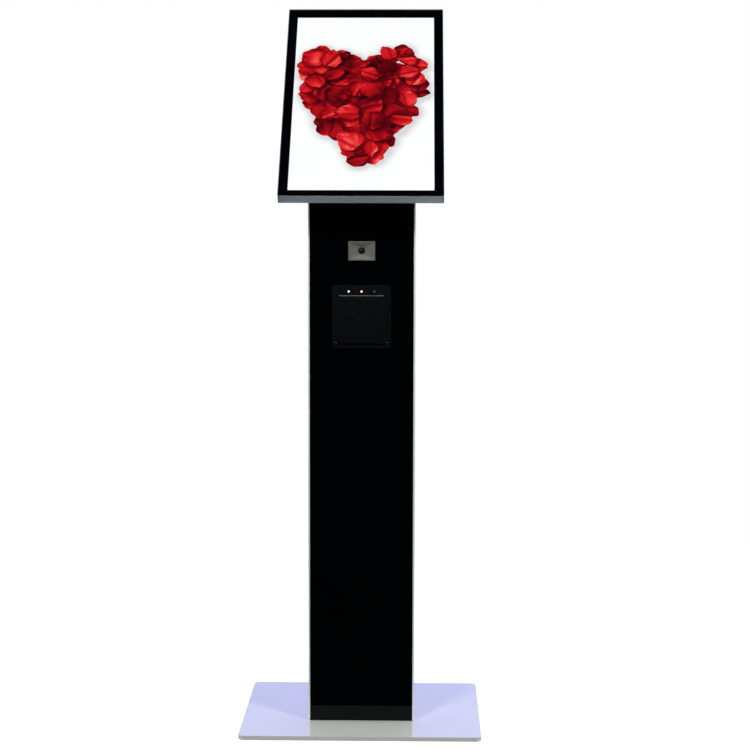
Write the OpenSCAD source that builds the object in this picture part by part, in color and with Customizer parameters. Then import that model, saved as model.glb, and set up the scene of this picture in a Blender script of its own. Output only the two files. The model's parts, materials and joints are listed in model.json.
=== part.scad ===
// Slim floor-standing photo terminal: a steel base plate, a glass-fronted column with a camera
// and a panel printer, and a portrait touch display leaned back on top.
// Frame: X to the right, Y to the back, Z up; the origin is the centre of the base's underside.

/* [Base plate] */
// Width of the base plate
base_w = 450; // [360:5:560]
// Depth of the base plate
base_d = 400; // [320:5:500]
// Thickness of the base plate
base_t = 8; // [6:0.5:12]
// Corner radius of the base plate
base_r = 12; // [4:1:40]
// Diameter of the four floor anchor holes
anchor_d = 11; // [9:0.5:13]
// Spacing of the anchor holes across the column
anchor_dx = 120; // [90:5:130]
// Spacing of the anchor holes from front to back
anchor_dy = 90; // [60:5:100]

/* [Column] */
// Width of the column
col_w = 200; // [166:2:260]
// Depth of the column
col_d = 180; // [150:2:240]
// Sheet thickness of the column shell
shell_t = 2; // [1.2:0.1:2.5]
// Width of the folded edge that shows on each side of the glass
edge_w = 3; // [2.6:0.1:5]
// Thickness of the foot plate
foot_t = 3; // [2:0.5:6]
// Thickness of the front glass
glass_t = 5; // [4:0.5:6]
// Gap between the front glass and the folded edges
glass_gap = 0.4; // [0.2:0.1:1]
// Thickness of the foam tape that holds the front glass
tape_t = 1; // [0.5:0.1:2]

/* [Display head] */
// Width of the lit screen
screen_w = 268; // [220:1:340]
// Height of the lit screen
screen_h = 476; // [390:1:600]
// Black border beside the screen, out to the frame's edge
border_side = 18; // [15:1:30]
// Black border below the screen, out to the frame's edge
border_low = 17; // [14:1:30]
// Black border above the screen, out to the frame's edge
border_high = 23; // [14:1:40]
// Depth of the head's frame
frame_t = 18; // [17:0.5:24]
// Width of the metal lip round the glass
lip_w = 1.2; // [0.8:0.1:2]
// Lean of the head from the vertical, in degrees
lean = 45; // [36:1:54]
// Height of the head's lower front edge
head_z = 1001; // [860:1:1200]
// How far the head's lower front edge stands ahead of the column
overhang = 74; // [66:1:90]
// Depth of the housing behind the head
housing_t = 35; // [30:1:45]
// Thickness of the plate that carries the head
mount_t = 3; // [2:0.5:5]

/* [Camera] */
// Height of the camera's centre
cam_z = 899.3; // [870:0.1:930]
// Width of the camera's face plate
cam_w = 50; // [45:1:66]
// Height of the camera's face plate
cam_h = 36; // [32:1:46]
// Thickness of the camera's face plate
cam_t = 1.5; // [1:0.1:2.5]
// Diameter of the lens barrel
barrel_d = 13; // [11:0.5:16]

/* [Printer] */
// Width of the printer's bezel
bezel_w = 110; // [104:1:132]
// Height from the printer's datum to the top of its bezel
bezel_h = 121; // [119:1:146]
// Height of the printer's datum, a little below its bezel
bezel_z = 714.5; // [640:0.5:740]
// How far the bezel stands out of the glass
bezel_t = 6; // [5.5:0.5:8]
// Height of the strip that holds the lamps
strip_h = 18.5; // [17:0.5:24]
// Radius of a full paper roll
roll_r = 30; // [20:1:31]
// Width of the paper
paper_w = 79.5; // [57:0.5:79.5]
// Radius of the rubber platen roller
platen_r = 6; // [5:0.5:6.5]
// Depth of the printer behind the glass
printer_d = 80; // [78:1:96]
// Height of the paper slot
slot_h = 1.5; // [1:0.1:3]

/* [Service door] */
// Height of the door opening's lower edge
door_z = 80; // [76:1:120]
// Height of the door opening
door_h = 820; // [680:5:830]
// Width of the door opening
door_w = 156; // [130:1:160]
// Gap round the door
door_gap = 1.2; // [1:0.1:2]
// Depth of the door's folded flange
flange_d = 10; // [8:1:12]
// Diameter of the hinge pins
pin_d = 4; // [3:0.5:5]
// Diameter of the lock's barrel
lock_d = 15.6; // [14:0.2:17]

/* [Power and cooling] */
// Size of the square fan
fan_s = 80; // [60:10:92]
// Depth of the fan
fan_t = 25; // [20:1:32]
// Height of the power supply
psu_h = 130; // [100:5:160]
// Depth of the power supply
psu_d = 98; // [70:2:110]
// Height of the inlet and the switch above the floor
inlet_z = 45; // [36:1:50]

/* [Hidden] */
$fn = 64;

eps = 0.01;          // cutters run this far past a face
far = 4000;          // larger than the whole object
run_gap = 0.05;      // radial clearance of a pin or shaft in its bore
move_gap = 0.4;      // side clearance between moving pieces
seat_gap = 0.3;      // clearance between a soft or resting piece and its seat

// Column
col_front = -col_d / 2;
col_back = col_d / 2;
in_x = col_w / 2 - shell_t;                    // inner face of the side walls
in_back = col_back - shell_t;                  // inner face of the rear wall
shell_z = base_t + foot_t;
pane_w = col_w - 2 * edge_w - 2 * glass_gap;
pane_back = col_front + glass_t;
return_y = pane_back + tape_t;                 // front face of the shell's returns
return_w = 28;
return_back = return_y + shell_t;
pane_z0 = base_t + 0.5;                         // the glass hides the front of the foot

// Foot and floor fasteners
foot_screw_d = 8;
foot_screw_dx = anchor_dx + 40;
foot_screw_dy = anchor_dy + 40;
foot_nut_h = 6.5;

// Head, in its own frame: x across, y up the slope, z out of the glass
head_y = col_front - overhang;
frame_w = screen_w + 2 * border_side;
frame_h = screen_h + border_low + border_high;
frame_wall = 4;
touch_t = 3;
border_t = 1;
panel_t = 10;
panel_rim = 9.8;
back_t = 1.5;
head_d = frame_t + housing_t;                  // front of the head to the back of its housing
mid_h = frame_h / 2;
screen_mid = border_low + screen_h / 2;
function slope_at(y, d) = (y - head_y - d * cos(lean)) / sin(lean);
function height_at(y, d) = head_z + slope_at(y, d) * cos(lean) - d * sin(lean);
housing_w = frame_w - 84;
housing_y0 = slope_at(col_front, head_d) + 3;
housing_y1 = frame_h - 40;
housing_h = housing_y1 - housing_y0;
housing_mid = (housing_y0 + housing_y1) / 2;
pane_z1 = height_at(col_front, head_d + mount_t) - 1.8;
shell_top = height_at(col_back, head_d) + 5;
mount_lo = slope_at(col_front + 50, head_d);   // slope positions of the two rows of head bolts
mount_hi = slope_at(col_back - 48, head_d);
mount_dx = col_w - 80;
cable_hole_d = 40;
cable_y = (mount_lo + mount_hi) / 2;
bolt_d = 6;
bolt_head_h = 4;
nut_h = 5;

// Service door
door_x1 = door_w / 2;
door_panel_t = 2;
door_y0 = col_back - door_panel_t;
flange_t = 1.5;
stop_gap = 0.3;
stop_t = 3;
stop_y = door_y0 - flange_d + door_panel_t - stop_gap - stop_t;
stop_lip = 10;
ring_w = 12;
hinge_x = door_x1 + 4;
knuckle_r = pin_d / 2 + 2.5;
hinge_y = col_back + knuckle_r + 0.5;
leaf_t = 2;
leaf_w = 16;
hinge_l = 60;
hinge_zs = [door_z + 60, door_z + door_h - 60 - hinge_l];
lock_x = -door_x1 + 22;
lock_z = door_z + door_h / 2;
plug_r = 4.5;
cam_thick = 2.5;
cam_len = 26;
cam_wide = 12;
cam_back = stop_y - 0.5;                       // face of the cam that bears behind the stop
lock_end = cam_back + 1.8;

// Inlet and switch
inlet_x = -30;
inlet_w = 46;
inlet_h = 26;
switch_x = 34;
switch_w = 22;
switch_h = 28;
rocker_w = 17.2;
rocker_h = 21;
rocker_out = 3;                                // rocker's thickness ahead of its axis
rocker_in = 4;                                 // rocker's thickness behind its axis
rocker_tilt = 8;
rocker_y = col_back - 1;
rocker_pin_r = 1.5;

// Power supply and fan
psu_w = 30;
psu_z = 110;
fan_z = door_z + door_h + ring_w + fan_s / 2 + 48;
fan_hole = fan_s * 0.447;                      // fan screws stand this far from its centre
fan_r = fan_s / 2 - 2;
rotor_r = fan_r - 1;
hub_r = fan_s * 0.21;
fan_screw_d = 4;

// Printer: px across, py back from the glass front, pz up from the bezel's lower edge
cheek_w = 4;
ledge_w = 4;
ledge_t = 2;
lip_h = 10.5;
bezel_foot = 4;                                 // bezel's lower edge, just under the opening in the glass
open_x = bezel_w / 2 - cheek_w;
win_x = open_x - ledge_w;                      // half width of the way through the bezel
strip_z = bezel_h - strip_h;
tear_t = 1.2;
door_top = strip_z - tear_t - slot_h;
barrel_r = 3;
axis_y = -bezel_t + barrel_r + 0.5;            // printer door's hinge axis
axis_z = lip_h + 0.5 + barrel_r;
small_pin_r = 1.5;
panel_y = axis_y - barrel_r;
panel_thick = 3;
wing_z = axis_z + 4;
case_t = 1.5;
case_x = win_x + case_t;                       // outer half width of the printer's chassis
case_z0 = 6;
case_z1 = bezel_h - 6;
cut_gap = 0.5;                                 // gap between the chassis and the glass
side_in = paper_w / 2 + 1.25;                  // inner face of the side plates
side_t = 1.2;
ear_t = 2;
shaft_r = 2.5;
platen_y = platen_r;
platen_z = door_top - platen_r - 2.3;
gear_m = 0.8;
platen_teeth = 18;
idler_teeth = 24;
pinion_teeth = 12;
gear_x = side_in + ear_t + 0.3;
gear_t = win_x - 0.7 - gear_x;
gear_drop = -6.44;                             // angle of the gear train below level
idler_far = gear_m * (platen_teeth + idler_teeth) / 2;
pinion_far = idler_far + gear_m * (idler_teeth + pinion_teeth) / 2;
idler_y = platen_y + idler_far * cos(gear_drop);
idler_z = platen_z + idler_far * sin(gear_drop);
pinion_y = platen_y + pinion_far * cos(gear_drop);
pinion_z = platen_z + pinion_far * sin(gear_drop);
motor_r = 11;
motor_l = 17;
motor_shaft_r = 1.5;
head_face = platen_y + platen_r + seat_gap;    // the heated face stands just off the platen
ceramic_t = 2;
sink_t = 7.7;
bucket_t = 1.5;
bucket_r = roll_r + seat_gap;
roll_y = printer_d - case_t - roll_r - seat_gap - bucket_t - 4.7;
roll_z = case_z0 + case_t + 3.2 + bucket_t + bucket_r;
core_r = 8;
core_wall = 1.8;
lamp_dx = 24;
lamp_z = strip_z + 7.1;
lamp_r = 1.5;
lamp_board_y = 4;
lamp_board_h = 7.4;
pcb_t = 1.6;
button_r = 1.8;
button_gap = 0.25;

// Camera
barrel_l = 15;
barrel_front = col_front - cam_t + 0.6;
cam_hole = barrel_d + 7;
bracket_t = 1.5;
bracket_w = 180 / 200 * col_w;
post_l = 4.5;
cam_board_y = return_back + bracket_t + post_l;
cam_screw_d = 3;
cam_screw_x = in_x - return_w + 12;

// Main board in the head
board_w = 170 / 220 * housing_w;
board_h = 120;
board_y0 = cable_y + cable_hole_d / 2 + 14;
board_d = frame_t + 16;
board_post_r = 3;

// Cable routes, chosen by hand
dc_route = [[-78, 20, 240.3], [-78, 20, 262], [-78, 30, 300], [-80, 44, 420], [-80, 44, 860],
    [-60, 30, 980], [-18, 10, 1060], [-8, 5, 1084], [-8, -4, 1099], [-28, 2, 1119], [-39, 9.9, 1131.9]];
mains_route = [[-30, 64, 45], [-30, 44, 45], [-50, 30, 55], [-78, 8, 70], [-82, 0, 92], [-82, 0, 109.8]];
printer_route = [[10, 2.2, 802.5], [10, 12, 802.5], [12, 22, 850], [14, 22, 900], [12, 14, 1000],
    [8, 8, 1062], [8, 5, 1084], [8, -4, 1099], [11, 2, 1119], [12, 10.6, 1132.5]];
camera_route = [[0, -72.4, 891.8], [0, -58, 892], [0, -34, 960], [0, -8, 1040], [0, 3, 1083],
    [0, -5, 1099], [-10, 2, 1119], [-14, 10.6, 1132.5]];

// ---------- shared shapes ----------

// Rectangle with round corners
module round_rect(w, h, r) {
    square([w - 2 * r, h], center = true);
    square([w, h - 2 * r], center = true);
    for (sx = [-1, 1], sy = [-1, 1]) translate([sx * (w / 2 - r), sy * (h / 2 - r)]) circle(r);
}

// Box given by its low and high corners
module span(a, b) {
    translate(a) cube(b - a);
}

// Cylinder along X, from x0 to x1
module rod_x(x0, x1, y, z, r) {
    translate([x0, y, z]) rotate([0, 90, 0]) cylinder(h = x1 - x0, r = r);
}

// Cylinder along Y, from y0 to y1
module rod_y(y0, y1, x, z, r) {
    translate([x, y0, z]) rotate([-90, 0, 0]) cylinder(h = y1 - y0, r = r);
}

// The head's own frame
module on_head() {
    translate([0, head_y, head_z]) rotate([90 - lean, 0, 0]) children();
}

// The printer's own frame
module on_printer() {
    translate([0, col_front, bezel_z]) children();
}

// Places of the head's four bolts
module at_head_bolts(d) {
    on_head() for (sx = [-1, 1], s = [mount_lo, mount_hi])
        translate([sx * mount_dx / 2, s, -d]) children();
}

// Everything below the plane at depth d behind the head's glass
module below_head(d) {
    on_head() translate([-far / 2, -far / 2, -far - d]) cube(far);
}

module four(dx, dy) {
    for (sx = [-1, 1], sy = [-1, 1]) translate([sx * dx / 2, sy * dy / 2, 0]) children();
}

// Outline of a spur gear with a tooth centred on the first axis
module gear_outline(teeth) {
    rp = gear_m * teeth / 2;
    step = 360 / teeth;
    root = rp - 1.2 * gear_m;
    tip = rp + 0.9 * gear_m;
    polygon([for (i = [0 : teeth - 1], c = [[-0.30, root], [-0.23, rp], [-0.11, tip],
        [0.11, tip], [0.23, rp], [0.30, root]])
        c[1] * [cos((i + c[0]) * step), sin((i + c[0]) * step)]]);
}

// Gear standing in a plane across X, turned by an angle
module gear_x_plane(teeth, y, z, turn, bore_r) {
    translate([gear_x, y, z]) rotate([90, 0, 90]) linear_extrude(gear_t) difference() {
        rotate(turn) gear_outline(teeth);
        circle(bore_r);
    }
}

// Round tube swept along a smoothed route
function smooth(p) = [p[0], for (i = [0 : len(p) - 2]) each [0.75 * p[i] + 0.25 * p[i + 1],
    0.25 * p[i] + 0.75 * p[i + 1]], p[len(p) - 1]];
function unit(v) = v / norm(v);
function heading(p, i) = unit(p[min(i + 1, len(p) - 1)] - p[max(i - 1, 0)]);
module cable(route, d) {
    sides = 8;
    side_ref = [0.9, -0.35, 0.25];
    p = smooth(smooth(route));
    rings = [for (i = [0 : len(p) - 1]) let (t = heading(p, i), a = unit(cross(t, side_ref)),
        b = cross(t, a)) for (k = [0 : sides - 1])
        p[i] + d / 2 * (cos(k * 360 / sides) * a + sin(k * 360 / sides) * b)];
    last = (len(p) - 1) * sides;
    polyhedron(rings, [[for (k = [0 : sides - 1]) k],
        for (i = [0 : len(p) - 2], k = [0 : sides - 1]) [i * sides + k, (i + 1) * sides + k,
            (i + 1) * sides + (k + 1) % sides, i * sides + (k + 1) % sides],
        [for (k = [sides - 1 : -1 : 0]) last + k]]);
}

// ---------- base ----------

module base_plate() {
    head_r = foot_screw_d;
    color("white") difference() {
        linear_extrude(base_t) round_rect(base_w, base_d, base_r);
        four(anchor_dx, anchor_dy) translate([0, 0, -eps]) cylinder(h = base_t + 1, d = anchor_d);
        four(foot_screw_dx, foot_screw_dy) {
            translate([0, 0, -eps]) cylinder(h = base_t + 1, d = foot_screw_d + 1);
            translate([0, 0, -eps]) cylinder(h = head_r - foot_screw_d / 2, r1 = head_r + 0.3,
                r2 = foot_screw_d / 2 + 0.3);
        }
    }
}

module base_fasteners() {
    head_r = foot_screw_d;
    color("silver") four(foot_screw_dx, foot_screw_dy) {
        translate([0, 0, 0.3]) cylinder(h = 3.6, r1 = head_r - 0.3, r2 = foot_screw_d / 2);
        translate([0, 0, 0.3]) cylinder(h = base_t + foot_t + foot_nut_h + 2, d = foot_screw_d);
        translate([0, 0, shell_z]) difference() {
            cylinder(h = foot_nut_h, r = foot_screw_d * 0.93, $fn = 6);
            translate([0, 0, -eps]) cylinder(h = foot_nut_h + 1, d = foot_screw_d + 2 * run_gap);
        }
    }
}

module column_foot() {
    color("white") translate([0, 0, base_t]) difference() {
        linear_extrude(foot_t) square([col_w, col_d], center = true);
        span([-pane_w / 2 - glass_gap, col_front - 1, -eps], [pane_w / 2 + glass_gap, pane_back + 0.4,
            foot_t + 1]);
        four(anchor_dx, anchor_dy) translate([0, 0, -eps]) cylinder(h = foot_t + 1, d = anchor_d);
        four(foot_screw_dx, foot_screw_dy)
            translate([0, 0, -eps]) cylinder(h = foot_t + 1, d = foot_screw_d + 1);
    }
}

// ---------- column ----------

// Cross-section of the folded shell, before the door is cut out
module shell_section() {
    for (s = [-1, 1]) {
        translate([s * (col_w / 2 - shell_t / 2), 0]) square([shell_t, col_d], center = true);
        translate([s * (col_w / 2 - edge_w / 2), col_front + glass_t])
            square([edge_w, 2 * glass_t], center = true);
        translate([s * (in_x - return_w / 2 + eps), return_y + shell_t / 2])
            square([return_w, shell_t], center = true);
    }
    translate([0, col_back - shell_t / 2]) square([col_w, shell_t], center = true);
}

module column_shell() {
    color("white") difference() {
        intersection() {
            translate([0, 0, shell_z]) linear_extrude(shell_top - shell_z) shell_section();
            below_head(head_d + mount_t);
        }
        span([-door_x1, in_back - 1, door_z], [door_x1, col_back + 1, door_z + door_h]);
        span([inlet_x - inlet_w / 2 - 0.3, in_back - 1, inlet_z - inlet_h / 2 - 0.3],
            [inlet_x + inlet_w / 2 + 0.3, col_back + 1, inlet_z + inlet_h / 2 + 0.3]);
        span([switch_x - switch_w / 2 - 0.3, in_back - 1, inlet_z - switch_h / 2 - 0.3],
            [switch_x + switch_w / 2 + 0.3, col_back + 1, inlet_z + switch_h / 2 + 0.3]);
        for (i = [-3 : 3]) translate([0, col_back, fan_z + i * fan_s / 9])
            cube([fan_s * 0.8, 4 * shell_t, fan_s / 20], center = true);
        for (sx = [-1, 1], sz = [-1, 1])
            rod_y(in_back - 1, col_back + 1, sx * fan_hole, fan_z + sz * fan_hole,
                fan_screw_d / 2 + 0.15);
        for (sx = [-1, 1])
            rod_y(return_y - 1, return_back + 1, sx * cam_screw_x, cam_z, cam_screw_d / 2 + run_gap);
    }
}

module front_glass() {
    color([0.02, 0.02, 0.03]) difference() {
        span([-pane_w / 2, col_front, pane_z0], [pane_w / 2, pane_back, pane_z1]);
        rod_y(col_front - 1, pane_back + 1, 0, cam_z, cam_hole / 2);
        on_printer() span([-case_x - cut_gap, -1, case_z0 - cut_gap],
            [case_x + cut_gap, glass_t + 1, case_z1 + cut_gap]);
    }
}

module glass_tape() {
    color("dimgray") for (s = [-1, 1]) translate([s * (in_x - return_w + 12), 0, 0])
        span([-8, pane_back, pane_z0 + 6], [8, return_y, pane_z1 - 6]);
}

module head_mount_plate() {
    color("white") difference() {
        intersection() {
            translate([0, 0, shell_z]) linear_extrude(shell_top + 60 - shell_z)
                square([col_w, col_d], center = true);
            below_head(head_d);
            on_head() translate([-far / 2, -far / 2, -head_d - mount_t])
                cube([far, far, mount_t + 1]);
        }
        at_head_bolts(head_d + mount_t + 1) cylinder(h = mount_t + 2, d = bolt_d + 0.6);
        on_head() translate([0, cable_y, -head_d - mount_t - 1])
            cylinder(h = mount_t + 2, d = cable_hole_d);
    }
}

module head_fasteners() {
    color("silver") {
        at_head_bolts(head_d + mount_t) {
            translate([0, 0, -bolt_head_h]) cylinder(h = bolt_head_h, r = bolt_d * 0.96, $fn = 6);
            translate([0, 0, -eps]) cylinder(h = mount_t + back_t + nut_h + 2, d = bolt_d);
        }
        at_head_bolts(head_d - back_t) difference() {
            cylinder(h = nut_h, r = bolt_d * 0.96, $fn = 6);
            translate([0, 0, -1]) cylinder(h = nut_h + 2, d = bolt_d + 2 * run_gap);
        }
    }
}

module cable_grommet() {
    r = cable_hole_d / 2 - 0.1;
    hold = mount_t + back_t;
    color("black") on_head() translate([0, cable_y, -head_d - mount_t]) rotate_extrude()
        polygon([[r - 4, -1.5], [r + 3, -1.5], [r + 3, 0], [r, 0], [r, hold], [r + 3, hold],
            [r + 3, hold + 1.5], [r - 4, hold + 1.5]]);
}

// ---------- service door ----------

// Ring behind the door's edge: it stiffens the opening and stops the door
module door_frame() {
    x1 = door_x1 + ring_w;
    web = 2;
    color("gainsboro") difference() {
        span([-x1, stop_y, door_z - ring_w], [x1, in_back, door_z + door_h + ring_w]);
        span([-x1 + web, stop_y + stop_t, door_z - ring_w + web],
            [x1 - web, in_back + 1, door_z + door_h + ring_w - web]);
        span([-door_x1 + stop_lip, stop_y - 1, door_z + stop_lip],
            [door_x1 - stop_lip, in_back + 1, door_z + door_h - stop_lip]);
    }
}

module service_door() {
    x1 = door_x1 - door_gap;
    z0 = door_z + door_gap;
    z1 = door_z + door_h - door_gap;
    color("white") difference() {
        span([-x1, col_back - flange_d, z0], [x1, col_back, z1]);
        span([-x1 + flange_t, col_back - flange_d - 1, z0 + flange_t],
            [x1 - flange_t, door_y0, z1 - flange_t]);
        rod_y(door_y0 - 1, col_back + 1, lock_x, lock_z, lock_d / 2 + 0.2);
        for (i = [-4 : 4]) translate([door_x1 - 50, col_back, door_z + 60 + i * 9])
            cube([60, 4 * door_panel_t, 3.5], center = true);
    }
}

// One hinge leaf with its knuckles; side is 1 for the column's leaf and -1 for the door's
module hinge_leaf(z, side, knuckles) {
    difference() {
        union() {
            for (k = knuckles) translate([hinge_x, hinge_y, z + k[0]])
                cylinder(h = k[1] - k[0], r = knuckle_r);
            for (k = knuckles) span([min(hinge_x, hinge_x + side * leaf_w), col_back + 0.4,
                z + k[0]], [max(hinge_x, hinge_x + side * leaf_w), col_back + leaf_t, z + k[1]]);
            span([min(hinge_x + side * (knuckle_r + 0.8), hinge_x + side * leaf_w), col_back,
                z], [max(hinge_x + side * (knuckle_r + 0.8), hinge_x + side * leaf_w),
                col_back + leaf_t, z + hinge_l]);
        }
        translate([hinge_x, hinge_y, z - 1]) cylinder(h = hinge_l + 2, r = pin_d / 2 + run_gap);
    }
}

module column_hinges() {
    third = hinge_l / 4;
    color("silver") for (z = hinge_zs) {
        hinge_leaf(z, 1, [[0, third], [hinge_l - third, hinge_l]]);
        translate([hinge_x, hinge_y, z]) cylinder(h = hinge_l, d = pin_d);
        translate([hinge_x, hinge_y, z + hinge_l]) cylinder(h = 1.5, r = pin_d / 2 + 1);
    }
}

module door_hinge_leaves() {
    third = hinge_l / 4;
    color("silver") for (z = hinge_zs)
        hinge_leaf(z, -1, [[third + seat_gap, hinge_l - third - seat_gap]]);
}

module lock_body() {
    color("silver") {
        difference() {
            union() {
                rod_y(col_back, col_back + 2.5, lock_x, lock_z, lock_d / 2 + 2.2);
                rod_y(lock_end, col_back + 1, lock_x, lock_z, lock_d / 2);
            }
            rod_y(lock_end - 1, col_back + 4, lock_x, lock_z, plug_r + run_gap);
        }
        translate([lock_x, door_y0 - 4, lock_z]) rotate([-90, 0, 0]) difference() {
            cylinder(h = 4, r = lock_d * 0.7, $fn = 6);
            translate([0, 0, -1]) cylinder(h = 6, r = lock_d / 2 + run_gap);
        }
    }
}

module lock_plug() {
    color("gainsboro") difference() {
        rod_y(cam_back, col_back + 2.3, lock_x, lock_z, plug_r);
        span([lock_x - 0.6, col_back - 4, lock_z - 3.2], [lock_x + 0.6, col_back + 3, lock_z + 3.2]);
    }
}

// The cam stands upright when the lock is open, and a quarter turn takes it behind the stop
module lock_cam() {
    color("silver") {
        translate([lock_x, cam_back, lock_z]) rotate([90, 0, 0]) linear_extrude(cam_thick)
            difference() {
                union() {
                    circle(cam_wide / 2);
                    translate([-cam_wide / 2, 0]) square([cam_wide, cam_len]);
                }
                circle(1.6);
            }
        rod_y(cam_back - cam_thick - 2, cam_back - cam_thick, lock_x, lock_z, 3.4);
    }
}

// ---------- power ----------

module mains_inlet() {
    wall = 3;
    color([0.05, 0.05, 0.05]) difference() {
        union() {
            span([inlet_x - inlet_w / 2, col_back - 26, inlet_z - inlet_h / 2],
                [inlet_x + inlet_w / 2, col_back + 1, inlet_z + inlet_h / 2]);
            translate([inlet_x, col_back, inlet_z]) rotate([-90, 0, 0]) linear_extrude(2.5)
                round_rect(inlet_w + 8, inlet_h + 6, 3);
        }
        translate([inlet_x, col_back - 15, inlet_z]) rotate([-90, 0, 0]) linear_extrude(20)
            polygon([[-12, -8], [12, -8], [12, 3], [7, 8], [-7, 8], [-12, 3]]);
    }
}

module inlet_pins() {
    color("gold") for (p = [[-7, -3], [0, 2], [7, -3]])
        translate([inlet_x + p[0], 0, inlet_z + p[1]])
            span([-1, col_back - 15, -2], [1, col_back - 3, 2]);
}

module rocker_bezel() {
    half_h = rocker_h / 2 + 1.1;
    half_w = rocker_w / 2 + move_gap;
    color([0.05, 0.05, 0.05]) difference() {
        union() {
            span([switch_x - switch_w / 2, col_back - 24, inlet_z - switch_h / 2],
                [switch_x + switch_w / 2, col_back + 1, inlet_z + switch_h / 2]);
            translate([switch_x, col_back, inlet_z]) rotate([-90, 0, 0]) linear_extrude(1.6)
                round_rect(switch_w + 4, switch_h + 4, 2);
        }
        span([switch_x - half_w, col_back - 12, inlet_z - half_h],
            [switch_x + half_w, col_back + 3, inlet_z + half_h]);
        rod_x(switch_x - switch_w / 2 + 0.8, switch_x + switch_w / 2 - 0.8, rocker_y, inlet_z,
            rocker_pin_r + run_gap);
    }
}

module power_rocker() {
    color("firebrick") {
        translate([switch_x, rocker_y, inlet_z]) rotate([rocker_tilt, 0, 0])
            span([-rocker_w / 2, -rocker_in, -rocker_h / 2], [rocker_w / 2, rocker_out, rocker_h / 2]);
        rod_x(switch_x - switch_w / 2 + 1, switch_x + switch_w / 2 - 1, rocker_y, inlet_z,
            rocker_pin_r);
    }
}

module power_supply() {
    x0 = -in_x;
    color("silver") {
        difference() {
            span([x0, -psu_d / 2, psu_z], [x0 + psu_w, psu_d / 2, psu_z + psu_h]);
            for (i = [1 : 7], k = [1 : 5]) rod_x(x0 + psu_w - 1.2, x0 + psu_w + 1,
                -psu_d / 2 + i * psu_d / 8, psu_z + k * psu_h / 6, 3);
        }
        for (s = [0, 1]) span([x0, -12, psu_z + s * (psu_h + 8) - 8],
            [x0 + 1.5, 12, psu_z + s * (psu_h + 8)]);
    }
}

module fan_frame() {
    color([0.06, 0.06, 0.06]) {
        difference() {
            translate([0, in_back, fan_z]) rotate([90, 0, 0]) linear_extrude(fan_t) difference() {
                round_rect(fan_s, fan_s, fan_s / 16);
                circle(fan_r);
            }
            for (sx = [-1, 1], sz = [-1, 1]) rod_y(in_back - fan_t - 1, in_back + 1,
                sx * fan_hole, fan_z + sz * fan_hole, fan_screw_d / 2 + 0.15);
        }
        difference() {
            union() {
                rod_y(in_back - 2, in_back, 0, fan_z, hub_r + 1);
                for (a = [45, 135]) translate([0, in_back - 1, fan_z]) rotate([0, a, 0])
                    cube([2 * fan_r + 1, 2, 5], center = true);
            }
            rod_y(in_back - 3, in_back + 1, 0, fan_z, 1.5 + run_gap);
        }
    }
}

module fan_rotor() {
    y0 = in_back - fan_t + 2;
    y1 = in_back - 3;
    color([0.1, 0.1, 0.1]) {
        rod_y(y0, y1, 0, fan_z, hub_r);
        rod_y(y1 - 1, in_back - 0.5, 0, fan_z, 1.5);
        intersection() {
            rod_y(y0, y1, 0, fan_z, rotor_r);
            for (i = [0 : 6]) translate([0, (y0 + y1) / 2, fan_z]) rotate([0, i * 360 / 7, 0])
                translate([0, 0, hub_r - 1]) rotate([0, 0, 38])
                    translate([-0.75, -15, 0]) cube([1.5, 30, fan_s]);
        }
    }
}

module small_screws() {
    color("silver") {
        for (sx = [-1, 1], sz = [-1, 1]) {
            rod_y(col_back, col_back + 2, sx * fan_hole, fan_z + sz * fan_hole, fan_screw_d * 0.9);
            rod_y(in_back - fan_t + 2, col_back + 1, sx * fan_hole, fan_z + sz * fan_hole,
                fan_screw_d / 2);
        }
        for (sx = [-1, 1]) {
            rod_y(return_back + bracket_t, return_back + bracket_t + 2, sx * cam_screw_x, cam_z,
                cam_screw_d * 0.9);
            rod_y(return_y + 0.1, return_back + bracket_t + 1, sx * cam_screw_x, cam_z,
                cam_screw_d / 2);
        }
    }
}

// ---------- printer ----------

module printer_bezel() {
    color([0.08, 0.08, 0.09]) on_printer() {
        difference() {
            translate([0, 0, (bezel_h + bezel_foot) / 2]) rotate([90, 0, 0]) linear_extrude(bezel_t)
                round_rect(bezel_w, bezel_h - bezel_foot, 1.5);
            difference() {
                union() {
                    span([-open_x, -bezel_t - 1, axis_z], [open_x, -ledge_t, strip_z]);
                    span([-win_x, -bezel_t - 1, lip_h], [win_x, 1, strip_z]);
                }
                for (s = [-1, 1]) rod_x(s > 0 ? win_x : -open_x, s > 0 ? open_x : -win_x, axis_y,
                    axis_z, small_pin_r + 2);
            }
            rod_x(-bezel_w / 2 + 1, bezel_w / 2 - 1, axis_y, axis_z, small_pin_r + run_gap);
            for (x = [-lamp_dx, 0]) rod_y(-bezel_t - 1, 1, x, lamp_z, lamp_r + 0.15);
            rod_y(-bezel_t - 1, 1, lamp_dx, lamp_z, button_r + button_gap);
        }
        for (s = [-1, 1]) rod_y(-1, lamp_board_y, s * (lamp_dx + 7), lamp_z, 1.8);
    }
}

module printer_door() {
    ear_x = side_in + ear_t;
    ear_y1 = platen_y + shaft_r + 2.5;
    wide = open_x - move_gap;
    color([0.08, 0.08, 0.09]) on_printer() difference() {
        union() {
            rod_x(-win_x + move_gap, win_x - move_gap, axis_y, axis_z, barrel_r);
            span([-win_x + move_gap, panel_y, axis_z], [win_x - move_gap, panel_y + panel_thick,
                door_top]);
            span([-wide, panel_y, wing_z], [wide, panel_y + panel_thick, door_top]);
            for (s = [-1, 1]) span([s > 0 ? side_in : -ear_x, panel_y + 1, platen_z - 9],
                [s > 0 ? ear_x : -side_in, ear_y1, platen_z + shaft_r + 2.5]);
        }
        rod_x(-win_x, win_x, axis_y, axis_z, small_pin_r + run_gap);
        rod_x(-ear_x - 1, ear_x + 1, platen_y, platen_z, shaft_r + run_gap);
    }
}

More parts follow.
